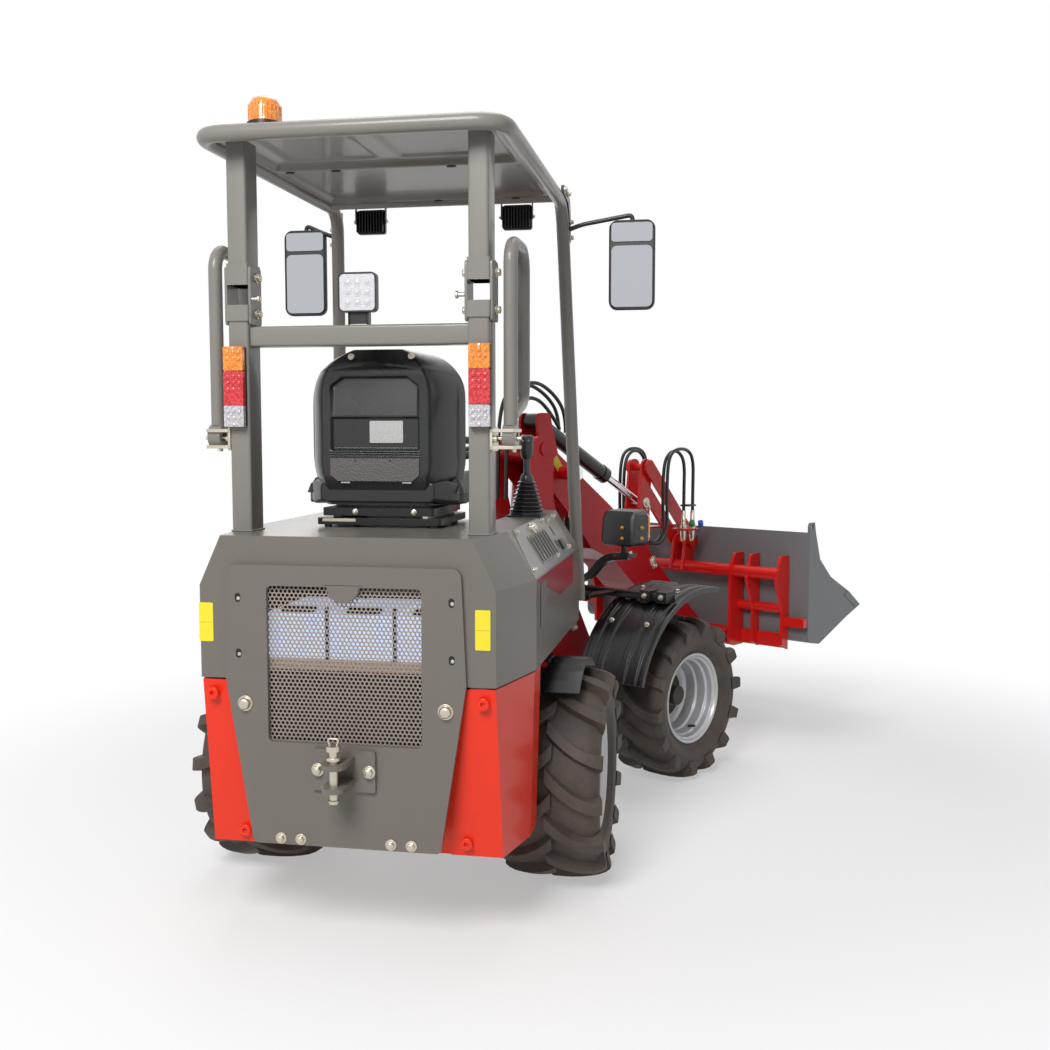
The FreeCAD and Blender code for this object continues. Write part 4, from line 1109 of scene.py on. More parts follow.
@dataclass
class CoverDress:
    """The vent panel on the right shoulder with its louvres and sockets, the red band and a blank plate."""

    finishes: Finishes
    deck: tuple[float, float] = (-345.0, 1005.0)
    edge: tuple[float, float] = (-420.0, 885.0)
    slots: int = 7

    def _on(self, x: float, down: float, lift: float = 0.0) -> Vector:
        """A spot on the right shoulder: X, millimetres down from its top edge, and lift off the face."""
        slope = Vector((0, self.edge[0] - self.deck[0], self.edge[1] - self.deck[1])).normalized()
        return Vector((x, self.deck[0], self.deck[1])) + slope * down + self._out() * lift

    def _out(self) -> Vector:
        """The right shoulder's outward direction."""
        return Vector((0, self.edge[1] - self.deck[1], self.deck[0] - self.edge[0])).normalized()

    def build(self) -> None:
        """Builds the panel, its fittings and the band below it."""
        self._panel()
        self._fittings()
        self._band()

    def _ring(self, form: Form, outline: Sequence[tuple[float, float]], low: float, high: float,
              material: int) -> None:
        """Adds a flat shape on the shoulder between two lifts."""
        form.loft([[self._on(x, d, low) for x, d in outline], [self._on(x, d, high) for x, d in outline]], material)

    def _panel(self) -> None:
        """A paler plate over the shoulder, its lighter grey a painted highlight for the lit face, with a dark
        painted-shade slot and two bright lips at each louvre.
        """
        form = Form(REAR)
        self._ring(form, [(-1066, 3), (-432, 3), (-452, 138), (-1132, 138)], 0.0, 1.6, 0)
        for i in range(self.slots):
            x = -962 + i * 41
            self._ring(form, rounded_box(x - 2, x + 26, 34, 120, 12), 1.0, 3.6, 0)
            self._ring(form, rounded_box(x + 3, x + 21, 39, 115, 8.9), 3.0, 3.9, 1)
        form.make("vent_panel", self.finishes.pick("shoulder_highlight_grey", "shadow_black"), Body.REAR, "cover_grey",
                  bevel=0.7)

    def _fittings(self) -> None:
        """A capped socket, a rocker switch, two key slots and the panel's bolts."""
        metal, dark, out = Form(REAR), Form(REAR), self._out()
        metal.turned(self._on(-841, 20, 1.5), out, ((0, 17), (4, 17), (6, 15), (6, 12), (13, 11), (15, 8)), 28)
        for x, down in ((-1050, 14), (-1098, 118), (-730, 120), (-500, 118), (-660, 12), (-460, 16), (-590, 20)):
            metal.bolt(self._on(x, down, 1.6), out, 10, 8)
        for x0, x1, d0, d1 in ((-602, -580, 36, 66), (-648, -622, 78, 104)):
            self._ring(dark, rounded_box(x0, x1, d0, d1, 6), 1.0, 2.6, 0)
        self._ring(dark, rounded_box(-604, -560, 84, 116, 5), 1.0, 9.0, 0)
        self._ring(metal, rounded_box(-900, -872, 96, 108, 3), 1.5, 2.2, 0)
        metal.make("vent_bolts", self.finishes.pick("zinc_steel"), Body.REAR, "zinc_steel", bevel=0.5)
        dark.make("vent_switches", self.finishes.pick("black_plastic"), Body.REAR, "black_plastic", bevel=0.8)

    def _band(self) -> None:
        """A plain red band along each flank under the shoulder edge, and a blank plate on the right one."""
        form = Form(REAR)
        outline = [(-1128, 884), (-486, 884), (-486, 795), (-740, 795), (-980, 850)]
        for side in Side:
            form.prism(outline, "XZ", *side.span(420, 420.7), 0)
        form.slab((-1070, -421.6, 757), (-980, -420.6, 868), "XZ", 3, 1)
        form.make("flank_band", self.finishes.pick("band_red", "plate_dull"), Body.REAR, "body_red")


# ---------------------------------------------------------------- cab frame and lamps


@dataclass
class CabFrame:
    """The folding posts, the roof's bent tube and its pressed panel."""

    finishes: Finishes
    post_x: tuple[float, float] = (-1247.0, -1169.0)
    post_y: tuple[float, float] = (275.0, 327.0)
    roof: float = 1954.0
    sheet: float = 1952.0
    tube: float = 20.0

    def build(self) -> None:
        """Builds posts, fold joints, brackets, tubes and panel."""
        self._lower()
        self._folds()
        self._brackets()
        self._upper()
        self._panel()

    def _lower(self) -> None:
        """The lower posts on their feet, with the beam between them."""
        form = Form(REAR)
        x0, x1 = self.post_x
        for side in Side:
            low, high = side.span(*self.post_y)
            form.slab((x0, low, 1006), (x1, high, 1558), "XY", 7)
            form.slab((x0 - 4, low - 3, 1520), (x1 + 2, high + 3, 1560), "XY", 5)
            form.slab((x0 - 3, low - 3, 1005), (x1 + 3, high + 3, 1009), "XY", 6)
        form.slab((x0 + 14, -self.post_y[0] - 2, 1459), (x0 + 64, self.post_y[0] + 2, 1509), "XZ", 7)
        form.make("posts_lower", self.finishes.pick("post_grey"), Body.REAR, "post_grey", bevel=1.5,
                  replaces=["rops_lower"])

    def _folds(self) -> None:
        """Hinge plates either side of each post, with their bolts and the rear locking pin."""
        plates, bolts = Form(REAR), Form(REAR)
        x0, x1 = self.post_x
        for side in Side:
            s = side.value
            for a, b in ((267, 274), (328, 335)):
                low, high = side.span(a, b)
                plates.slab((x0 + 2, low, 1512), (x1 - 10, high, 1654), "XZ", 9)
            for z in (1540, 1628):
                bolts.bolt((x1 - 40, s * 335, z), (0, s, 0), 17, 12)
                bolts.bolt((x1 - 40, s * 267, z), (0, -s, 0), 17, 12)
            bolts.rod((x0 + 8, s * 267, 1574), (x0 + 8, s * 250, 1574), 5, 14)
            bolts.turned((x0 + 8, s * 250, 1574), (0, -s, 0), ((0, 9), (5, 9), (7, 6)), 20)
        plates.make("fold_plates", self.finishes.pick("post_grey"), Body.REAR, "dark_steel", bevel=1.2,
                    replaces=["rops_hinges"])
        bolts.make("fold_bolts", self.finishes.pick("zinc_steel"), Body.REAR, "zinc_steel", bevel=0.5)

    def _brackets(self) -> None:
        """The black plates at the roof's front corners, with their bolts."""
        plates = Form(REAR)
        outline = [(-470, 1962), (-455, 1984), (-372, 1992), (-318, 1962), (-300, 1880), (-300, 1838), (-322, 1838),
                   (-334, 1915), (-362, 1950)]
        for side in Side:
            s = side.value
            plates.prism(outline, "XZ", *side.span(378, 386), 0)
            low, high = side.span(352, 386)
            plates.slab((-322, low, 1842), (-314, high, 1952), "YZ", 5, 0)
            for x, z in ((-448, 1972), (-372, 1974), (-311, 1900), (-311, 1852)):
                plates.bolt((x, s * 386, z), (0, s, 0), 13, 9, 1)
        plates.make("roof_brackets", self.finishes.pick("black_steel", "zinc_steel"), Body.REAR, "black_steel",
                    bevel=1.0)

    def _upper(self) -> None:
        """The upper posts, the roof's loop, the front legs bent down from it and their cross bar."""
        form = Form(REAR)
        x0, x1 = self.post_x
        for side in Side:
            low, high = side.span(*self.post_y)
            form.slab((x0 + 1, low + 1, 1608), (x1 - 1, high - 1, self.roof), "XY", 7)
            form.slab((x0 - 2, low - 2, 1608), (x1 + 1, high + 2, 1660), "XY", 5)
        legs = [(-216, 405, 705), (-250, 391, 1085), (-338, 362, self.roof), (-1307, 372, self.roof)]
        loop = legs + [(x, -y, z) for x, y, z in reversed(legs)]
        form.pipe(elbowed(loop, 75, 9), self.tube, 28, 0, 1)
        form.rod((-431, -366, self.roof), (-431, 366, self.roof), 15, 20)
        for side in Side:
            low, high = side.span(384, 392)
            form.slab((-268, low, 1080), (-196, high, 1140), "XZ", 6)
        form.make("roof_frame", self.finishes.pick("post_grey"), Body.REAR, "post_grey", angle=40,
                  replaces=["rops_upper"])

    def _panel(self) -> None:
        """The roof's pressed sheet: two recesses with raised panels in the larger one, and drain plugs."""
        form = Form(REAR)
        x0, x1, half = -1290.0, -442.0, 352.0

        def height(x: float, y: float) -> float:
            """Height of the sheet at a spot."""

            def inside(a: float, b: float, c: float, d: float) -> float:
                """1 well inside a rectangle and 0 outside it."""
                reach = min(eased(x, a, a + 16) - eased(x, b - 16, b), eased(y, c, c + 16) - eased(y, d - 16, d))
                return max(0.0, reach)

            lift = 13 * inside(-1270, -905, -335, 335) + 13 * inside(-880, -465, -335, 335)
            panels = max(inside(-1225, -950, -275, -25), inside(-1225, -950, 25, 275))
            return self.sheet + lift + 6 * panels

        def spot(across: float, up: float) -> Point:
            """A point of the sheet by its shares."""
            x, y = x0 + (x1 - x0) * up, half * (2 * across - 1)
            return (x, y, height(x, y))

        form.field(84, 96, spot)
        panel = form.make("roof_sheet", self.finishes.pick("cover_grey"), Body.REAR, "post_grey", angle=60,
                          replaces=["roof_panel"])
        thick = panel.modifiers.new("Thickness", "SOLIDIFY")
        thick.thickness, thick.offset = 0.002, 1.0
        plugs = Form(REAR)
        for x, y in ((-893, -150), (-893, 170), (-1255, -190), (-1255, 230), (-455, 0), (-455, -240), (-893, 300)):
            z = height(x, y)
            plugs.prism([(x + 7 * math.cos(a), y + 13 * math.sin(a)) for a in (math.tau * k / 20 for k in range(20))],
                        "XY", z - 3.0, z - 0.4)
        plugs.make("roof_plugs", self.finishes.pick("black_rubber"), Body.REAR, "black_rubber", bevel=0.6)


@dataclass
class Lamps:
    """Tail lamps, rear and front work lamps, the beacon, and the headlamps with their brackets."""

    finishes: Finishes

    def build(self) -> None:
        """Builds every lamp."""
        self._tail()
        self._rear_work()
        self._front_work()
        self._beacon()
        for side in Side:
            self._headlamp(side)

    def _tail(self) -> None:
        """A black back plate with an amber, a red and a white lens, LED domes in each."""
        form = Form(REAR)
        names = ["lamp_black", "amber_lens", "red_lens", "clear_lens", "zinc_steel"]
        dome = ((0, 6), (1.6, 5.6), (2.8, 4.2), (3.3, 2.2), (3.4, 0.6))
        for side in Side:
            low, high = side.span(280, 333)
            form.slab((-1256, low, 1262), (-1247, high, 1459), "YZ", 6, 0)
            for bottom, top, material in ((1400, 1458, 1), (1316, 1399, 2), (1263, 1315, 3)):
                form.slab((-1269, low + 1, bottom), (-1255, high - 1, top), "YZ", 3, material)
                rows = 3 if material == 2 else 2
                for r in range(rows):
                    for c in range(3):
                        y, z = low + 12 + c * 14.5, top - 14 - r * 15.5
                        form.turned((-1268.5, y, z), (-1, 0, 0), dome, 16, material)
            for z in (1453, 1268):
                form.turned((-1269, (low + high) / 2, z), (-1, 0, 0), ((0, 4), (1.5, 4), (2.2, 3)), 14, 4)
        form.make("tail_lamp_lenses", self.finishes.pick(*names), Body.REAR, "lamp_lens", bevel=1.2,
                  replaces=["tail_lamps"])

    def _rear_work(self) -> None:
        """A square lamp on a small yoke: black rim, silver face, nine domes and cooling fins in front."""
        form = Form(REAR)
        names = ["lamp_black", "lamp_face", "clear_lens", "zinc_steel"]
        y0, y1, z0, z1 = -40, 57, 1541, 1637
        dome = ((0, 11), (1.2, 10.5), (1.2, 7), (2.4, 6), (3.2, 3.5), (3.4, 0.8))
        form.slab((-1208, y0, z0), (-1190, y1, z1), "YZ", 13, 0)
        outer, inner = rounded_box(y0, y1, z0, z1, 13), rounded_box(y0 + 4, y1 - 4, z0 + 4, z1 - 4, 10)
        form.loft([[(-1208, y, z) for y, z in outer], [(-1211, y, z) for y, z in outer],
                   [(-1211, y, z) for y, z in inner], [(-1208.4, y, z) for y, z in inner]], 0)
        form.slab((-1209.6, y0 + 4, z0 + 4), (-1208, y1 - 4, z1 - 4), "YZ", 10, 1)
        for r in range(3):
            for c in range(3):
                spot = (-1209.4, y0 + 24 + c * 24.5, z0 + 24 + r * 24)
                form.turned(spot, (-1, 0, 0), dome, 20, 1)
        for k in range(9):
            y = y0 + 9 + k * 9.6
            form.slab((-1190, y, z0 + 6), (-1173, y + 3, z1 - 6), "YZ", 1.4, 0)
        form.slab((-1202, -14, 1509), (-1180, 32, 1513), "XY", 3, 3)
        form.slab((-1200, -12, 1513), (-1182, 30, 1543), "YZ", 4, 0)
        for y in (-17, 31):
            form.slab((-1202, y, 1509), (-1180, y + 4, 1550), "XZ", 5, 0)
        form.rod((-1191, -22, 1549), (-1191, 40, 1549), 4.5, 14, 3)
        form.make("rear_lamp", self.finishes.pick(*names), Body.REAR, "lamp_black", bevel=0.8,
                  replaces=["work_lamp_rear"])

    def _front_work(self) -> None:
        """Two finned lamps under the roof's front bar, facing forward, on small yokes."""
        form = Form(REAR)
        names = ["lamp_black", "clear_lens", "zinc_steel"]
        for side in Side:
            low, high = side.span(187, 278)
            form.slab((-392, low, 1868), (-378, high, 1943), "YZ", 8, 0)
            form.slab((-379, low + 4, 1872), (-375, high - 4, 1939), "YZ", 6, 1)
            for k in range(10):
                y = low + 4 + k * 9.2
                form.slab((-408, y, 1873), (-391, y + 3, 1938), "YZ", 1.4, 0)
            for y in (low - 4, high + 1):
                form.slab((-402, y, 1898), (-388, y + 3, 1952), "XZ", 4, 0)
            form.box((-402, low - 4, 1948), (-388, high + 4, 1952), 0)
            form.bolt((-395, low - 4, 1906), (0, -1, 0), 10, 0, 2)
            form.bolt((-395, high + 4, 1906), (0, 1, 0), 10, 0, 2)
        form.make("front_work_lamps", self.finishes.pick(*names), Body.REAR, "lamp_black", bevel=0.8,
                  replaces=["work_lamps_front"])

    def _beacon(self) -> None:
        """The amber dome over its black base."""
        form = Form(REAR)
        form.turned((-1245, 222, 1957), (0, 0, 1), ((0, 26), (18, 26), (20, 43), (31, 43), (33, 41)), 48, 0)
        dome = [(33, 40), (36, 39), (60, 38.5), (76, 36.5), (86, 31), (92, 20), (94.5, 6)]
        form.turned((-1245, 222, 1957), (0, 0, 1), dome, 48, 1)
        for k in range(24):
            a = math.tau * k / 24
            spot = Vector((-1245 + 38.6 * math.cos(a), 222 + 38.6 * math.sin(a), 1995))
            form.rod(spot, spot + Vector((0, 0, 34)), 1.6, 6, 1)
        form.make("beacon_dome", self.finishes.pick("lamp_black", "amber_lens"), Body.REAR, "amber_lens",
                  bevel=0.8, replaces=["beacon"])

    def _headlamp(self, side: Side) -> None:
        """A headlamp with its bracket, and the bar that carries the fender below it."""
        form = Form(FRONT)
        self._case(form, side)
        self._arm(form, side)
        self._bar(form, side)
        names = ["lamp_black", "clear_lens", "amber_lens", "brass", "black_steel", "zinc_steel"]
        form.make(f"headlamp_{side.name.lower()}", self.finishes.pick(*names), Body.FRONT, "lamp_black", bevel=2.0,
                  replaces=["headlamps", "lamp_arms"])

    def _case(self, form: Form, side: Side) -> None:
        """The rounded black case with its clear face, amber outer end and brass screws."""
        s = side.value
        low, high = side.span(392, 532)
        shape = [(216, 872), (222, 958), (236, 984), (306, 987), (318, 972), (320, 876), (308, 866), (226, 866)]
        inset = ((0.0, 14), (0.06, 4), (0.14, 0), (0.86, 0), (0.94, 4), (1.0, 14))
        form.loft([[(x + (268 - x) * d / 60, low + (high - low) * t, z + (926 - z) * d / 60) for x, z in shape]
                   for t, d in inset], 0)
        form.slab((317, low + 9, 876), (325, high - 9, 972), "YZ", 10, 1)
        low, high = side.span(516, 532)
        form.slab((300, low, 888), (316, high, 964), "YZ", 5, 2)
        for z in (893, 929):
            form.bolt((266, s * 531, z), (0, s, 0), 9, 7, 3)
            form.bolt((219, s * 488, z), (-1, 0, 0), 9, 7, 3)

    def _arm(self, form: Form, side: Side) -> None:
        """The lamp's stem and foot on its bent arm."""
        s = side.value
        form.rod((262, s * 462, 836), (262, s * 462, 868), 10, 16, 4)
        low, high = side.span(425, 500)
        form.slab((236, low, 826), (288, high, 838), "XY", 8, 4)
        form.bolt((262, s * 488, 838), (0, 0, 1), 13, 9, 5)
        arm = [(233, s * 160, 726), (233, s * 330, 742), (240, s * 400, 822), (258, s * 486, 830)]
        form.pipe(elbowed(arm, 40), 17, 4, 4, 1)

    def _bar(self, form: Form, side: Side) -> None:
        """The fender's bar and its tie to the chassis, with end blocks and bolts."""
        s = side.value
        for (x0, z0), (x1, z1), (near, far), plane, radius in (
                ((381, 664), (417, 690), (118, 560), "XZ", 3), ((214, 668), (250, 696), (117, 330), "XZ", 4),
                ((226, 674), (400, 686), (296, 340), "XY", 6)):
            low, high = side.span(near, far)
            form.slab((x0, low, z0), (x1, high, z1), plane, radius, 4)
        for y in (s * 150, s * 250):
            form.bolt((214, y, 682), (-1, 0, 0), 14, 10, 5)
        for y in (s * 470, s * 540):
            form.slab((372, y - 22, 660), (426, y + 22, 700), "XZ", 5, 4)
            form.bolt((372, y, 681), (-1, 0, 0), 14, 10, 5)


@dataclass
class Mirrors:
    """Two-pane mirrors on bent arms outside the front legs."""

    finishes: Finishes

    def build(self) -> None:
        """Builds both mirrors."""
        for side, low, high in ((Side.LEFT, 405, 545), (Side.RIGHT, -650, -508)):
            self._mirror(side, low, high)

    def _mirror(self, side: Side, low: float, high: float) -> None:
        """One mirror: crowned black case, upper and lower glass, arm, clamp and nuts."""
        form, s = Form(REAR), side.value
        names = ["black_plastic", "mirror_glass", "black_steel", "zinc_steel"]
        case = rounded_box(low, high, 1625, 1898, 26)
        middle = (low + high) / 2

        def ring(x: float, inset: float) -> list[Point]:
            """The case's outline at a depth, drawn in by an inset."""
            return [(x, y + (inset if y < middle else -inset), z + (inset if z < 1760 else -inset)) for y, z in case]

        form.loft([ring(-334, 5), ring(-336, 3), ring(-334, 0.5), ring(-322, 0), ring(-308, 8), ring(-301, 26)], 0)
        form.slab((-336.8, low + 8, 1832), (-334, high - 8, 1889), "YZ", 10, 1)
        form.slab((-336.8, low + 8, 1634), (-334, high - 8, 1820), "YZ", 16, 1)
        root = (-318, s * 372, 1872)
        form.pipe(elbowed([root, (-318, s * 420, 1890), (-318, middle, 1915), (-318, middle, 1880)], 22), 7, 14, 2, 1)
        for z in (1858, 1886):
            form.turned((-318, s * 366, z - 6), (0, 0, 1), ((0, 11), (10, 11), (12, 9)), 20, 2)
        form.rod((-340, s * 372, 1872), (-296, s * 372, 1872), 4.5, 12, 3)
        form.make(f"mirror_{side.name.lower()}", self.finishes.pick(*names), Body.REAR, "black_plastic",
                  bevel=1.0, replaces=["mirrors"])


# ---------------------------------------------------------------- seat and controls


@dataclass
class Seat:
    """The moulded seat: shell with its recess and pocket, padded back and base, and the adjusting rails."""

    finishes: Finishes
    back: float = -1118.0
    foot: float = 1064.0
    top: float = 1460.0

    def build(self) -> None:
        """Builds shell, trims, pads and rails."""
        self._shell()
        self._trims()
        self._back_pad()
        self._base_pad()
        self._rails()

    def _half(self, z: float) -> float:
        """Half width of the shell's rim at a height."""
        crown = max(0.0, (z - 1330) / 130)
        return 207 * math.sqrt(max(0.02, 1 - 0.80 * crown ** 2.6)) - 22 * (1 - eased(z, 1064, 1180))

    def _rear(self, y: float, z: float) -> float:
        """X of the shell's rear face at a spot."""
        share = min(1.0, abs(y) / self._half(z))
        x = self.back + 7 + 128 * max(0.0, share - 0.66) ** 1.6 / 0.34 ** 1.6
        x += 46 * eased(z, 1380, 1475) ** 2 + 26 * (1 - eased(z, 1064, 1150))
        band = eased(z, 1418 - 26 * share ** 2, 1424 - 26 * share ** 2)
        x -= 7 * band * (1 - 0.6 * share)
        inside = eased(118 - abs(y), 0, 7)
        corner = eased(1392 - 22 * max(0.0, abs(y) - 84) / 30 - z, 0, 5)
        upper = inside * corner * eased(z, 1284, 1290) * (5 + 12 * (z - 1290) / 100)
        lower = inside * eased(z, 1204, 1209) * (1 - eased(z, 1284, 1290)) * 14
        return x + upper + lower

    def _shell(self) -> None:
        """The shell as one skin, wrapped round to its front edge."""
        form = Form(REAR)

        def spot(across: float, up: float) -> Point:
            """A point of the skin by its shares."""
            z = self.foot + (self.top - self.foot) * up
            y = self._half(z) * (2 * across - 1)
            return (self._rear(y, z), y, z)

        form.field(150, 190, spot)
        shell = form.make("seat_shell", self.finishes.pick("seat_gloss"), Body.REAR, "black_plastic", angle=50,
                          replaces=["seat_back"])
        thick = shell.modifiers.new("Thickness", "SOLIDIFY")
        thick.thickness, thick.offset = 0.004, -1.0

    def _trims(self) -> None:
        """Screws, the blank silver plate, the ribbed ledge and the grained pocket with its tabs."""
        form = Form(REAR)
        names = ["seat_gloss", "seat_grain", "plate_silver", "zinc_steel", "shadow_black"]
        x = self.back + 7
        screw = ((-8, 8), (0, 8), (1.5, 7), (1.5, 4.5), (0.5, 4.5), (2.6, 4), (3, 2))
        for y in (59, -98):
            form.turned((x - 2, y, 1440), (-1, 0, 0), screw, 20, 3)
        form.slab((x + 11, -72, 1223), (x + 15, 16, 1279), "YZ", 3, 2)
        for k in range(3):
            form.slab((x - 2.5 + k * 0.8, -121, 1199 - k * 6), (x + 8, 121, 1203 - k * 6), "XZ", 1.8, 0)
        outline = [(-117, 1184), (117, 1184), (117, 1142), (98, 1126), (-98, 1126), (-117, 1142)]
        form.prism(outline, "YZ", x - 3.5, x + 10, 1)
        for y in (-42, 50):
            form.turned((x - 3.4, y, 1178), (-1, 0, 0), ((0, 2.6), (0.4, 2.4)), 12, 4)
        for y in (-84, 78):
            form.slab((x - 1, y - 12, 1120), (x + 5, y + 12, 1125), "XZ", 2, 2)
        form.make("seat_trims", self.finishes.pick(*names), Body.REAR, "black_plastic", bevel=1.2)

    def _back_pad(self) -> None:
        """The padded front of the backrest, thicker at its two side rolls."""
        form = Form(REAR)
        rows = []
        for k in range(13):
            z = 1086 + 356 * k / 12
            half = self._half(z) - 6
            round_off = math.sin(math.pi * min(1.0, (k + 0.6) / 12.6)) ** 0.3
            ring = []
            for i in range(28):
                a = math.tau * i / 28
                y = half * math.copysign(abs(math.cos(a)) ** 0.6, math.cos(a))
                roll = 10 * eased(abs(y), 96, 150)
                x = -1004 + (30 + roll) * math.copysign(abs(math.sin(a)) ** 0.7, math.sin(a)) * round_off
                ring.append((min(x, -961.0), y, z))
            rows.append(ring)
        form.loft(rows)
        pad = form.make("seat_back_pad", self.finishes.pick("seat_vinyl"), Body.REAR, "seat_vinyl", angle=60,
                        subdivide=1)

    def _base_pad(self) -> None:
        """The seat pad, crowned, with side rolls, and the pan under it flaring to the rear."""
        form = Form(REAR)

        def spot(across: float, up: float) -> Point:
            """A point of the pad's top by its shares."""
            y, x = 213 * (2 * across - 1), -1036 + 384 * up
            side = eased(abs(y), 118, 168) * (1 - eased(abs(y), 196, 214))
            edge = min(1.0, 12 * min(across, 1 - across, up, 1 - up)) ** 0.5
            seam = 3 * math.exp(-((up - 0.5) * 55) ** 2) * (abs(y) < 112)
            channel = 4 * math.exp(-((abs(y) - 112) / 5) ** 2) + seam
            return (x, y, 1092 + edge * (34 + 18 * side) - channel * edge)

        form.field(44, 40, spot)
        form.slab((-1034, -211, 1066), (-654, 211, 1094), "XY", 30)
        pad = form.make("seat_base_pad", self.finishes.pick("seat_vinyl"), Body.REAR, "seat_vinyl", angle=55,
                        replaces=["seat_cushion"], bevel=3)
        pan = Form(REAR)
        sections = []
        for x, half, z0, z1 in ((-1096, 150, 1072, 1122), (-1060, 182, 1066, 1128), (-1020, 204, 1063, 1120),
                                (-960, 212, 1062, 1098)):
            sections.append([(x, y, z) for y, z in rounded_box(-half, half, z0, z1, 14)])
        pan.loft(sections)
        pan.make("seat_pan", self.finishes.pick("seat_gloss"), Body.REAR, "black_plastic", bevel=3)

    def _rails(self) -> None:
        """The suspension's black housing, its sliding rails and two bright screws."""
        form = Form(REAR)
        form.slab((-1086, -166, 1012), (-806, 166, 1030), "XY", 10, 0)
        form.slab((-1090, -150, 1036), (-800, 150, 1056), "XY", 12, 0)
        for y in (-132, 120):
            form.slab((-1088, y, 1028), (-804, y + 14, 1040), "XZ", 3, 1)
        for y in (-96, 60):
            form.bolt((-1090, y, 1046), (-1, 0, 0), 11, 8, 1)
        form.slab((-1087.5, 60, 1020), (-1086, 150, 1028), "YZ", 2, 1)
        for x in (-1070, -840):
            for y in (-140, 140):
                form.turned((x, y, 1005), (0, 0, 1), ((0, 10), (8, 10)), 18, 0)
        form.make("seat_rails", self.finishes.pick("black_steel", "zinc_steel"), Body.REAR, "black_steel",
                  bevel=1.2, replaces=["seat_base"])


@dataclass
class Controls:
    """The joystick with its ribbed boot, and the steering wheel on its column."""

    finishes: Finishes
    stick: tuple[float, float] = (-600.0, -300.0)

    def build(self) -> None:
        """Builds stick and wheel."""
        self._joystick()
        self._wheel()

    def _joystick(self) -> None:
        """Base plate, seven ribs that narrow upwards, the stem and the grip."""
        form = Form(REAR)
        x, y = self.stick
        form.slab((x - 58, y - 52, 1005.4), (x + 58, y + 52, 1010), "XY", 10, 1)
        profile = [(5, 50), (12, 50)]
        for k in range(8):
            z, r = 14 + k * 11.5, 50 - k * 3.3
            profile += [(z, r - 6), (z + 3, r), (z + 5.5, r), (z + 8.5, r - 7)]
        profile += [(108, 20), (118, 17), (124, 12)]
        form.turned((x, y, 1005), (0, 0, 1), profile, 40, 0)
        form.rod((x, y, 1126), (x, y, 1180), 10, 20, 2)
        grip = [(0, 12), (8, 17), (26, 19), (44, 18.5), (58, 21), (66, 19), (70, 12)]
        form.turned((x, y, 1172), (0, 0, 1), grip, 28, 0)
        for k in range(2):
            form.turned((x - 15, y - 8 + k * 16, 1224), (-1, 0, 0.3), ((0, 5), (4, 5), (5, 4)), 14, 2)
        form.make("joystick_boot", self.finishes.pick("boot_rubber", "black_steel", "grip_blue"),
                  Body.REAR, "black_rubber", bevel=0.8, replaces=["joystick"])

    def _wheel(self) -> None:
        """The rim, three spokes and the hub."""
        form = Form(REAR)
        tilt = Matrix.Rotation(math.radians(-9), 3, "Y")
        centre = Vector((-478, 0, 1200))
        ring = []
        for k in range(73):
            a = math.tau * k / 72
            ring.append(centre + tilt @ Vector((165 * math.cos(a), 165 * math.sin(a), 0)))
        form.pipe(ring, 12, 14, 0, 1)
        for k in range(3):
            a = math.tau * k / 3 + math.pi
            form.pipe([centre + tilt @ Vector((35 * math.cos(a), 35 * math.sin(a), -16)),
                       centre + tilt @ Vector((100 * math.cos(a), 100 * math.sin(a), -10)),
                       centre + tilt @ Vector((160 * math.cos(a), 160 * math.sin(a), 0))], 9, 10, 0)
        form.turned(centre + tilt @ Vector((0, 0, -34)), tilt @ Vector((0, 0, 1)),
                    ((0, 30), (14, 42), (26, 42), (32, 34), (34, 20)), 32, 0)
        form.make("steering_wheel_rim", self.finishes.pick("black_plastic"), Body.REAR, "black_plastic",
                  bevel=0.8, angle=50, replaces=["steering_wheel"])


# ---------------------------------------------------------------- front frame and loader


class Skin:
    """The frame's own surfaces, to seat small fittings on."""

    def __init__(self, place: Place, nodes: Sequence[str]) -> None:
        """Gathers the nodes' faces in one frame, in millimetres."""
        shape = bmesh.new()
        for node in nodes:
            shape.from_mesh(frame["nodes"][node].data)
        shape.transform((place.matrix @ Matrix.Scale(MM, 4)).inverted())
        self.tree = BVHTree.FromBMesh(shape)
        shape.free()

    def hit(self, start: Point, toward: Point) -> Optional[Vector]:
        """The first spot met from a start in a direction."""
        return self.tree.ray_cast(Vector(start), Vector(toward).normalized())[0]


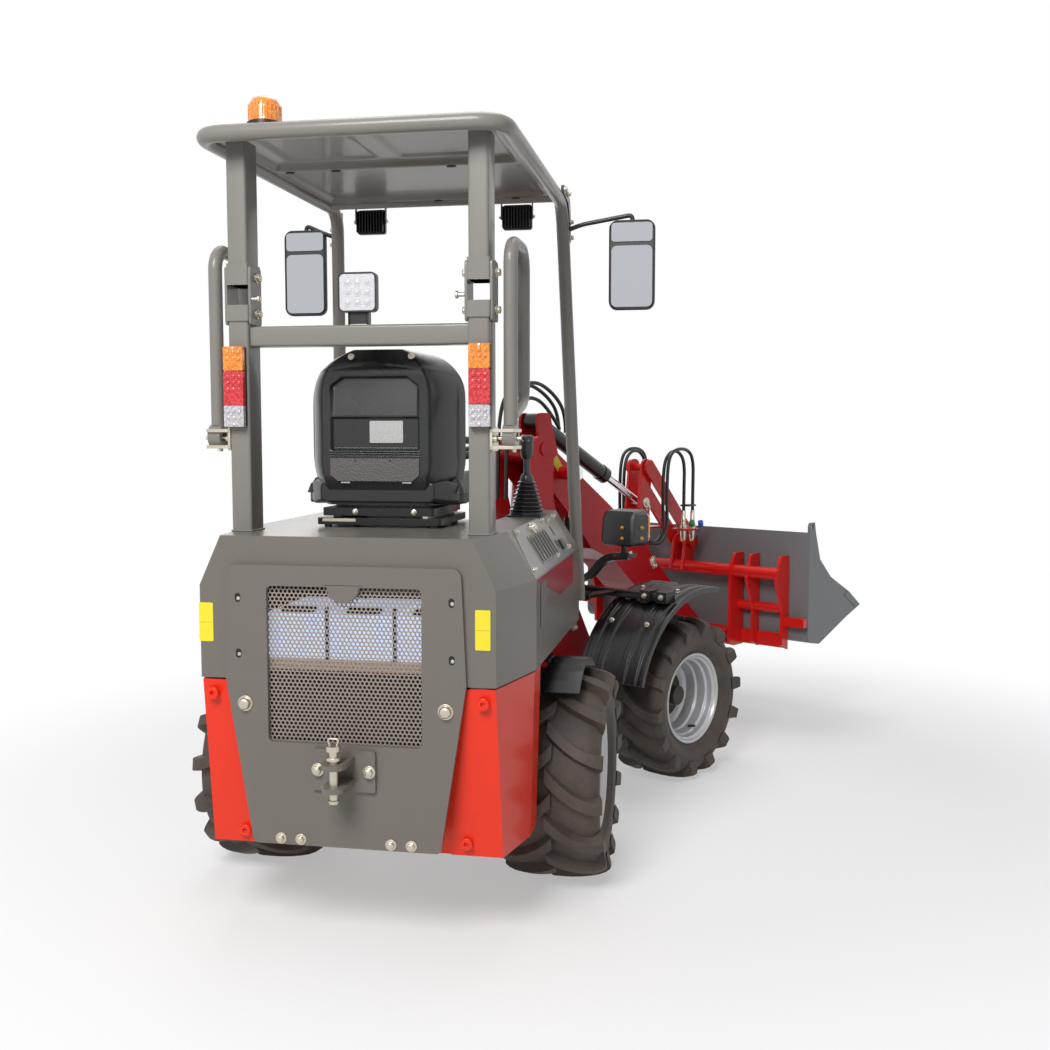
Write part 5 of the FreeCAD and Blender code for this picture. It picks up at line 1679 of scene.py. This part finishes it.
@dataclass
class Loader:
    """Pins and retainers of boom, lever and carrier, the couplers' shelves, the blank label and the side cutters."""

    finishes: Finishes
    pins: tuple[tuple[str, Body, float, float], ...] = (
        ("front_chassis", Body.FRONT, 250, 1190), ("boom", Body.BOOM, 1290, 396), ("boom", Body.BOOM, 960, 725),
        ("tilt_lever", Body.LEVER, 990, 1105), ("tilt_lever", Body.LEVER, 979, 961),
        ("front_chassis", Body.FRONT, 330, 1290), ("boom", Body.BOOM, 380, 1100),
        ("front_chassis", Body.FRONT, 330, 560), ("tool_carrier", Body.CARRIER, 1325, 770))
    label: tuple[float, float] = (356.0, 1132.0)
    lip: float = 501.0

    def build(self) -> None:
        """Builds the pin ends, the couplers' shelves, the label and the side cutters."""
        for number, (node, body, x, z) in enumerate(self.pins):
            self._pin(number, node, body, x, z)
        self._shelves()
        self._label()
        self._cutters()

    def _pin(self, number: int, node: str, body: Body, x: float, z: float) -> None:
        """A bright pin end with its lobed retainer and bolt on each outer face of a node.

        Args:
            number: the pin's number.
            node: the CAD node it sits on.
            body: the body that it rides on.
            x: forward place in the front frame.
            z: height in the front frame.
        """
        form, skin, found = Form(FRONT), Skin(FRONT, [node]), 0
        for side in Side:
            s = side.value
            spot = skin.hit((x + 1, s * 700, z + 1), (0, -s, 0))
            if spot is None or s * spot.y < 0:
                continue
            found += 1
            form.turned((x, spot.y - s, z), (0, s, 0), ((0, 21), (5, 21), (6, 20), (6, 13), (9, 12), (10, 8)), 32)
            lobe = [(x + 10 + r * math.cos(a), z - 16 + r * math.sin(a)) for a, r in
                    ((math.tau * k / 24, 15 + 3 * math.cos(3 * math.tau * k / 24)) for k in range(24))]
            form.prism(lobe, "XZ", min(spot.y, spot.y + s * 3.5), max(spot.y, spot.y + s * 3.5))
            form.bolt((x + 12, spot.y + s * 3.5, z - 20), (0, s, 0), 12, 8)
        if found:
            form.make(f"pin_{number}_{node}", self.finishes.pick("zinc_steel"), body, "zinc_steel", bevel=0.7)

    def _shelves(self) -> None:
        """The shelf for the hose couplers on each side of the link, and the ties that hold the hoses in pairs."""
        form, clips = Form(FRONT), Form(FRONT)
        for side in Side:
            low, high = side.span(52, 140)
            form.slab((1142, low, 838), (1222, high, 846), "XY", 6)
            low, high = side.span(88, 132)
            clips.slab((1148, low, 940), (1212, high, 947), "XY", 8)
        form.make("coupler_shelves", self.finishes.pick("carrier_red"), Body.LINK, "carrier_red", bevel=0.7)
        clips.make("hose_ties", self.finishes.pick("black_plastic"), Body.LINK, "black_plastic", bevel=1.0)

    def _label(self) -> None:
        """A blank yellow label on the boom's outer cheeks, near its top."""
        form, skin = Form(FRONT), Skin(FRONT, ["boom"])
        x, z = self.label
        outline = [(x + u * 0.62 + v * 0.78, z - u * 0.78 + v * 0.62) for u, v in rounded_box(-30, 30, -17, 17, 3)]
        for side in Side:
            s = side.value
            spot = skin.hit((x, s * 700, z), (0, -s, 0))
            if spot is not None:
                form.prism(outline, "XZ", min(spot.y, spot.y + s * 0.8), max(spot.y, spot.y + s * 0.8))
        form.make("boom_labels", self.finishes.pick("sticker_yellow"), Body.BOOM, "frame_red")

    def _cutters(self) -> None:
        """The side cutters on the bucket's cheeks by the lip."""
        form, x, z = Form(FRONT), FRONT.box("bucket")[1].x / MM, self.lip
        outline = [(x - 10, z + 2), (x - 44, z - 10), (x - 150, z + 52), (x - 118, z + 70)]
        for side in Side:
            form.prism(outline, "XZ", *side.span(575.2, 577.6), 0)
        form.make("side_cutters", self.finishes.pick("bucket_grey"), Body.CARRIER, "bucket_grey", bevel=0.5)


@dataclass
class FrontFenders:
    """Black moulded fenders over the front wheels: a wide band with rolled edges and raised ribs."""

    finishes: Finishes
    axle: tuple[float, float] = (FRONT_AXLE, WHEEL_RADIUS)
    band: tuple[float, float] = (312.0, 590.0)
    arc: tuple[float, float] = (78.0, 164.0)

    def build(self) -> None:
        """Builds both fenders."""
        for side in Side:
            self._fender(side)

    def _spot(self, angle: float, y: float, radius: float) -> Vector:
        """A point about the axle."""
        a = math.radians(angle)
        return Vector((self.axle[0] + radius * math.cos(a), y, self.axle[1] + radius * math.sin(a)))

    def _fender(self, side: Side) -> None:
        """One fender, its section swept about the axle."""
        form, s = Form(FRONT), side.value
        inner, outer = self.band
        section = [(inner, 392), (inner, 402)]
        for rib in (346, 398, 500, 548):
            section += [(rib - 16, 402), (rib - 11, 409), (rib + 11, 409), (rib + 16, 402)]
        section += [(outer - 12, 402), (outer - 6, 408), (outer, 406), (outer, 390), (outer - 4, 390),
                    (outer - 8, 397), (inner + 4, 397)]
        steps = 40
        rings = [[self._spot(self.arc[0] + (self.arc[1] - self.arc[0]) * k / steps, s * y, r) for y, r in section]
                 for k in range(steps + 1)]
        form.loft(rings)
        form.make(f"fender_{side.name.lower()}", self.finishes.pick("fender_black"), Body.FRONT, "black_plastic",
                  bevel=1.5, angle=25, replaces=["front_fenders"])
        bolts = Form(FRONT)
        for y in (372, 522):
            for angle in (102, 132):
                spot = self._spot(angle, s * y, 402)
                bolts.bolt(spot, spot - Vector((self.axle[0], s * y, self.axle[1])), 13, 10)
        bolts.make(f"fender_bolts_{side.name.lower()}", self.finishes.pick("zinc_steel"), Body.FRONT, "zinc_steel",
                   bevel=0.5)


@dataclass
class SafetyBars:
    """Zinc brackets, pins and clips at the feet of the two safety bars."""

    finishes: Finishes

    def build(self) -> None:
        """Builds both brackets."""
        form = Form(REAR)
        for side in Side:
            s = side.value
            low, high = side.span(327, 392)
            for z in (1214, 1254):
                form.slab((-1250, low, z - 4), (-1172, high, z + 4), "XY", 10)
            low, high = side.span(327, 334)
            form.slab((-1246, low, 1205), (-1176, high, 1262), "XZ", 6)
            form.rod((-1196, s * 376, 1202), (-1196, s * 376, 1274), 6, 16)
            form.turned((-1196, s * 376, 1270), (0, 0, 1), ((0, 11), (5, 11), (7, 9)), 24)
            form.rod((-1226, s * 340, 1236), (-1226, s * 400, 1236), 5, 14)
            for x in (-1234, -1190):
                form.bolt((x, s * 334, 1234), (0, s, 0), 12, 9)
        form.make("bar_clamps", self.finishes.pick("zinc_steel"), Body.REAR, "zinc_steel", bevel=1.0,
                  replaces=["bar_brackets"])


# ---------------------------------------------------------------- studio


@dataclass
class Studio:
    """The pale floor, the soft lamps and the camera behind the machine's right rear corner."""

    camera_spot: Point = (-3.921, -0.899, 1.252)
    heading: float = 0.180
    down: float = 0.081
    lens: float = 39.5
    lamps: tuple[tuple[str, Point, float, float], ...] = (
        ("key", (-5.0, 0.8, 4.0), 2.2, 210.0), ("fill", (-2.6, -5.0, 2.4), 3.0, 4.0),
        ("top", (0.4, 0.6, 5.8), 3.4, 85.0), ("front", (4.6, 2.5, 3.2), 3.0, 45.0))
    aim: Point = (-0.2, 0.3, 0.8)

    def build(self) -> None:
        """Makes floor, world, lamps and camera."""
        self._floor()
        self._world()
        self._lamps()
        self._camera()
        bpy.context.scene.view_settings.view_transform = "Standard"

    def _floor(self) -> None:
        """A wide plane under the wheels, white where nothing shades it."""
        data = bpy.data.meshes.new("floor")
        data.from_pydata([(-30, -30, 0), (30, -30, 0), (30, 30, 0), (-30, 30, 0)], [], [(0, 1, 2, 3)])
        floor = bpy.data.objects.new("floor", data)
        bpy.context.scene.collection.objects.link(floor)
        g = Graph("studio_floor")
        surface = g.node("BsdfPrincipled", {}, {"Base Color": (0.97, 0.97, 0.97, 1.0), "Roughness": 0.9})
        white = g.node("Emission", {}, {"Color": (1.0, 1.0, 1.0, 1.0), "Strength": 1.0})
        reach = g.node("VectorMath", {"operation": "LENGTH"}, {0: g.place()}, "Value")
        far = g.node("MapRange", {"interpolation_type": "SMOOTHSTEP"},
                     {"Value": reach, "From Min": 1.2, "From Max": 2.9, "To Min": 0.42, "To Max": 1.0})
        g.node_out(g.node("MixShader", {}, {0: far * g.seen(), 1: surface, 2: white}))
        data.materials.append(g.owner)

    def _world(self) -> None:
        """White to the camera and in reflections, plain soft light elsewhere."""
        world = bpy.data.worlds.new("studio")
        bpy.context.scene.world = world
        g = Graph("studio", world)
        soft = g.node("Background", {}, {"Color": (0.9, 0.93, 1.0, 1.0), "Strength": 0.16})
        white = g.node("Background", {}, {"Color": (1.0, 1.0, 1.0, 1.0), "Strength": 1.0})
        g.node_out(g.node("MixShader", {}, {0: g.seen(), 1: soft, 2: white}))

    def _lamps(self) -> None:
        """A key high behind the machine, a faint fill on its right, one lamp overhead and one in front."""
        for name, spot, size, power in self.lamps:
            data = bpy.data.lights.new(name, "AREA")
            data.shape, data.size, data.energy = "DISK", size, power
            lamp = bpy.data.objects.new(name, data)
            lamp.location = spot
            lamp.rotation_euler = (Vector(self.aim) - Vector(spot)).to_track_quat("-Z", "Y").to_euler()
            bpy.context.scene.collection.objects.link(lamp)

    def _camera(self) -> None:
        """The camera, aimed by its heading to the left and its tilt down."""
        data = bpy.data.cameras.new("camera")
        data.lens, data.sensor_width = self.lens, 36.0
        camera = bpy.data.objects.new("camera", data)
        camera.location = REAR.matrix @ Vector(self.camera_spot)
        camera.rotation_euler = (math.pi / 2 - self.down, 0.0, self.heading - math.pi / 2)
        bpy.context.scene.collection.objects.link(camera)
        bpy.context.scene.camera = camera


def main() -> None:
    """Builds the finishes, the pieces and the studio in order."""
    logging.basicConfig(level=logging.INFO, format="%(name)s %(message)s")
    finishes = Finishes()
    Studio().build()
    Hoses(finishes).build()
    Dressing(finishes).build()
    for name, place, axle, side, body in (
            ("rear_left", REAR, REAR_AXLE, Side.LEFT, Body.WHEEL_REAR_LEFT),
            ("rear_right", REAR, REAR_AXLE, Side.RIGHT, Body.WHEEL_REAR_RIGHT),
            ("front_left", FRONT, FRONT_AXLE, Side.LEFT, Body.WHEEL_FRONT_LEFT),
            ("front_right", FRONT, FRONT_AXLE, Side.RIGHT, Body.WHEEL_FRONT_RIGHT)):
        Wheel(finishes, name, place, axle, side, body).build()
    for assembly in (RearPanel, CoverDress, CabFrame, Lamps, Mirrors, Seat, Controls, FrontFenders, Loader,
                     SafetyBars):
        assembly(finishes).build()


if __name__ == "__main__":
    main()
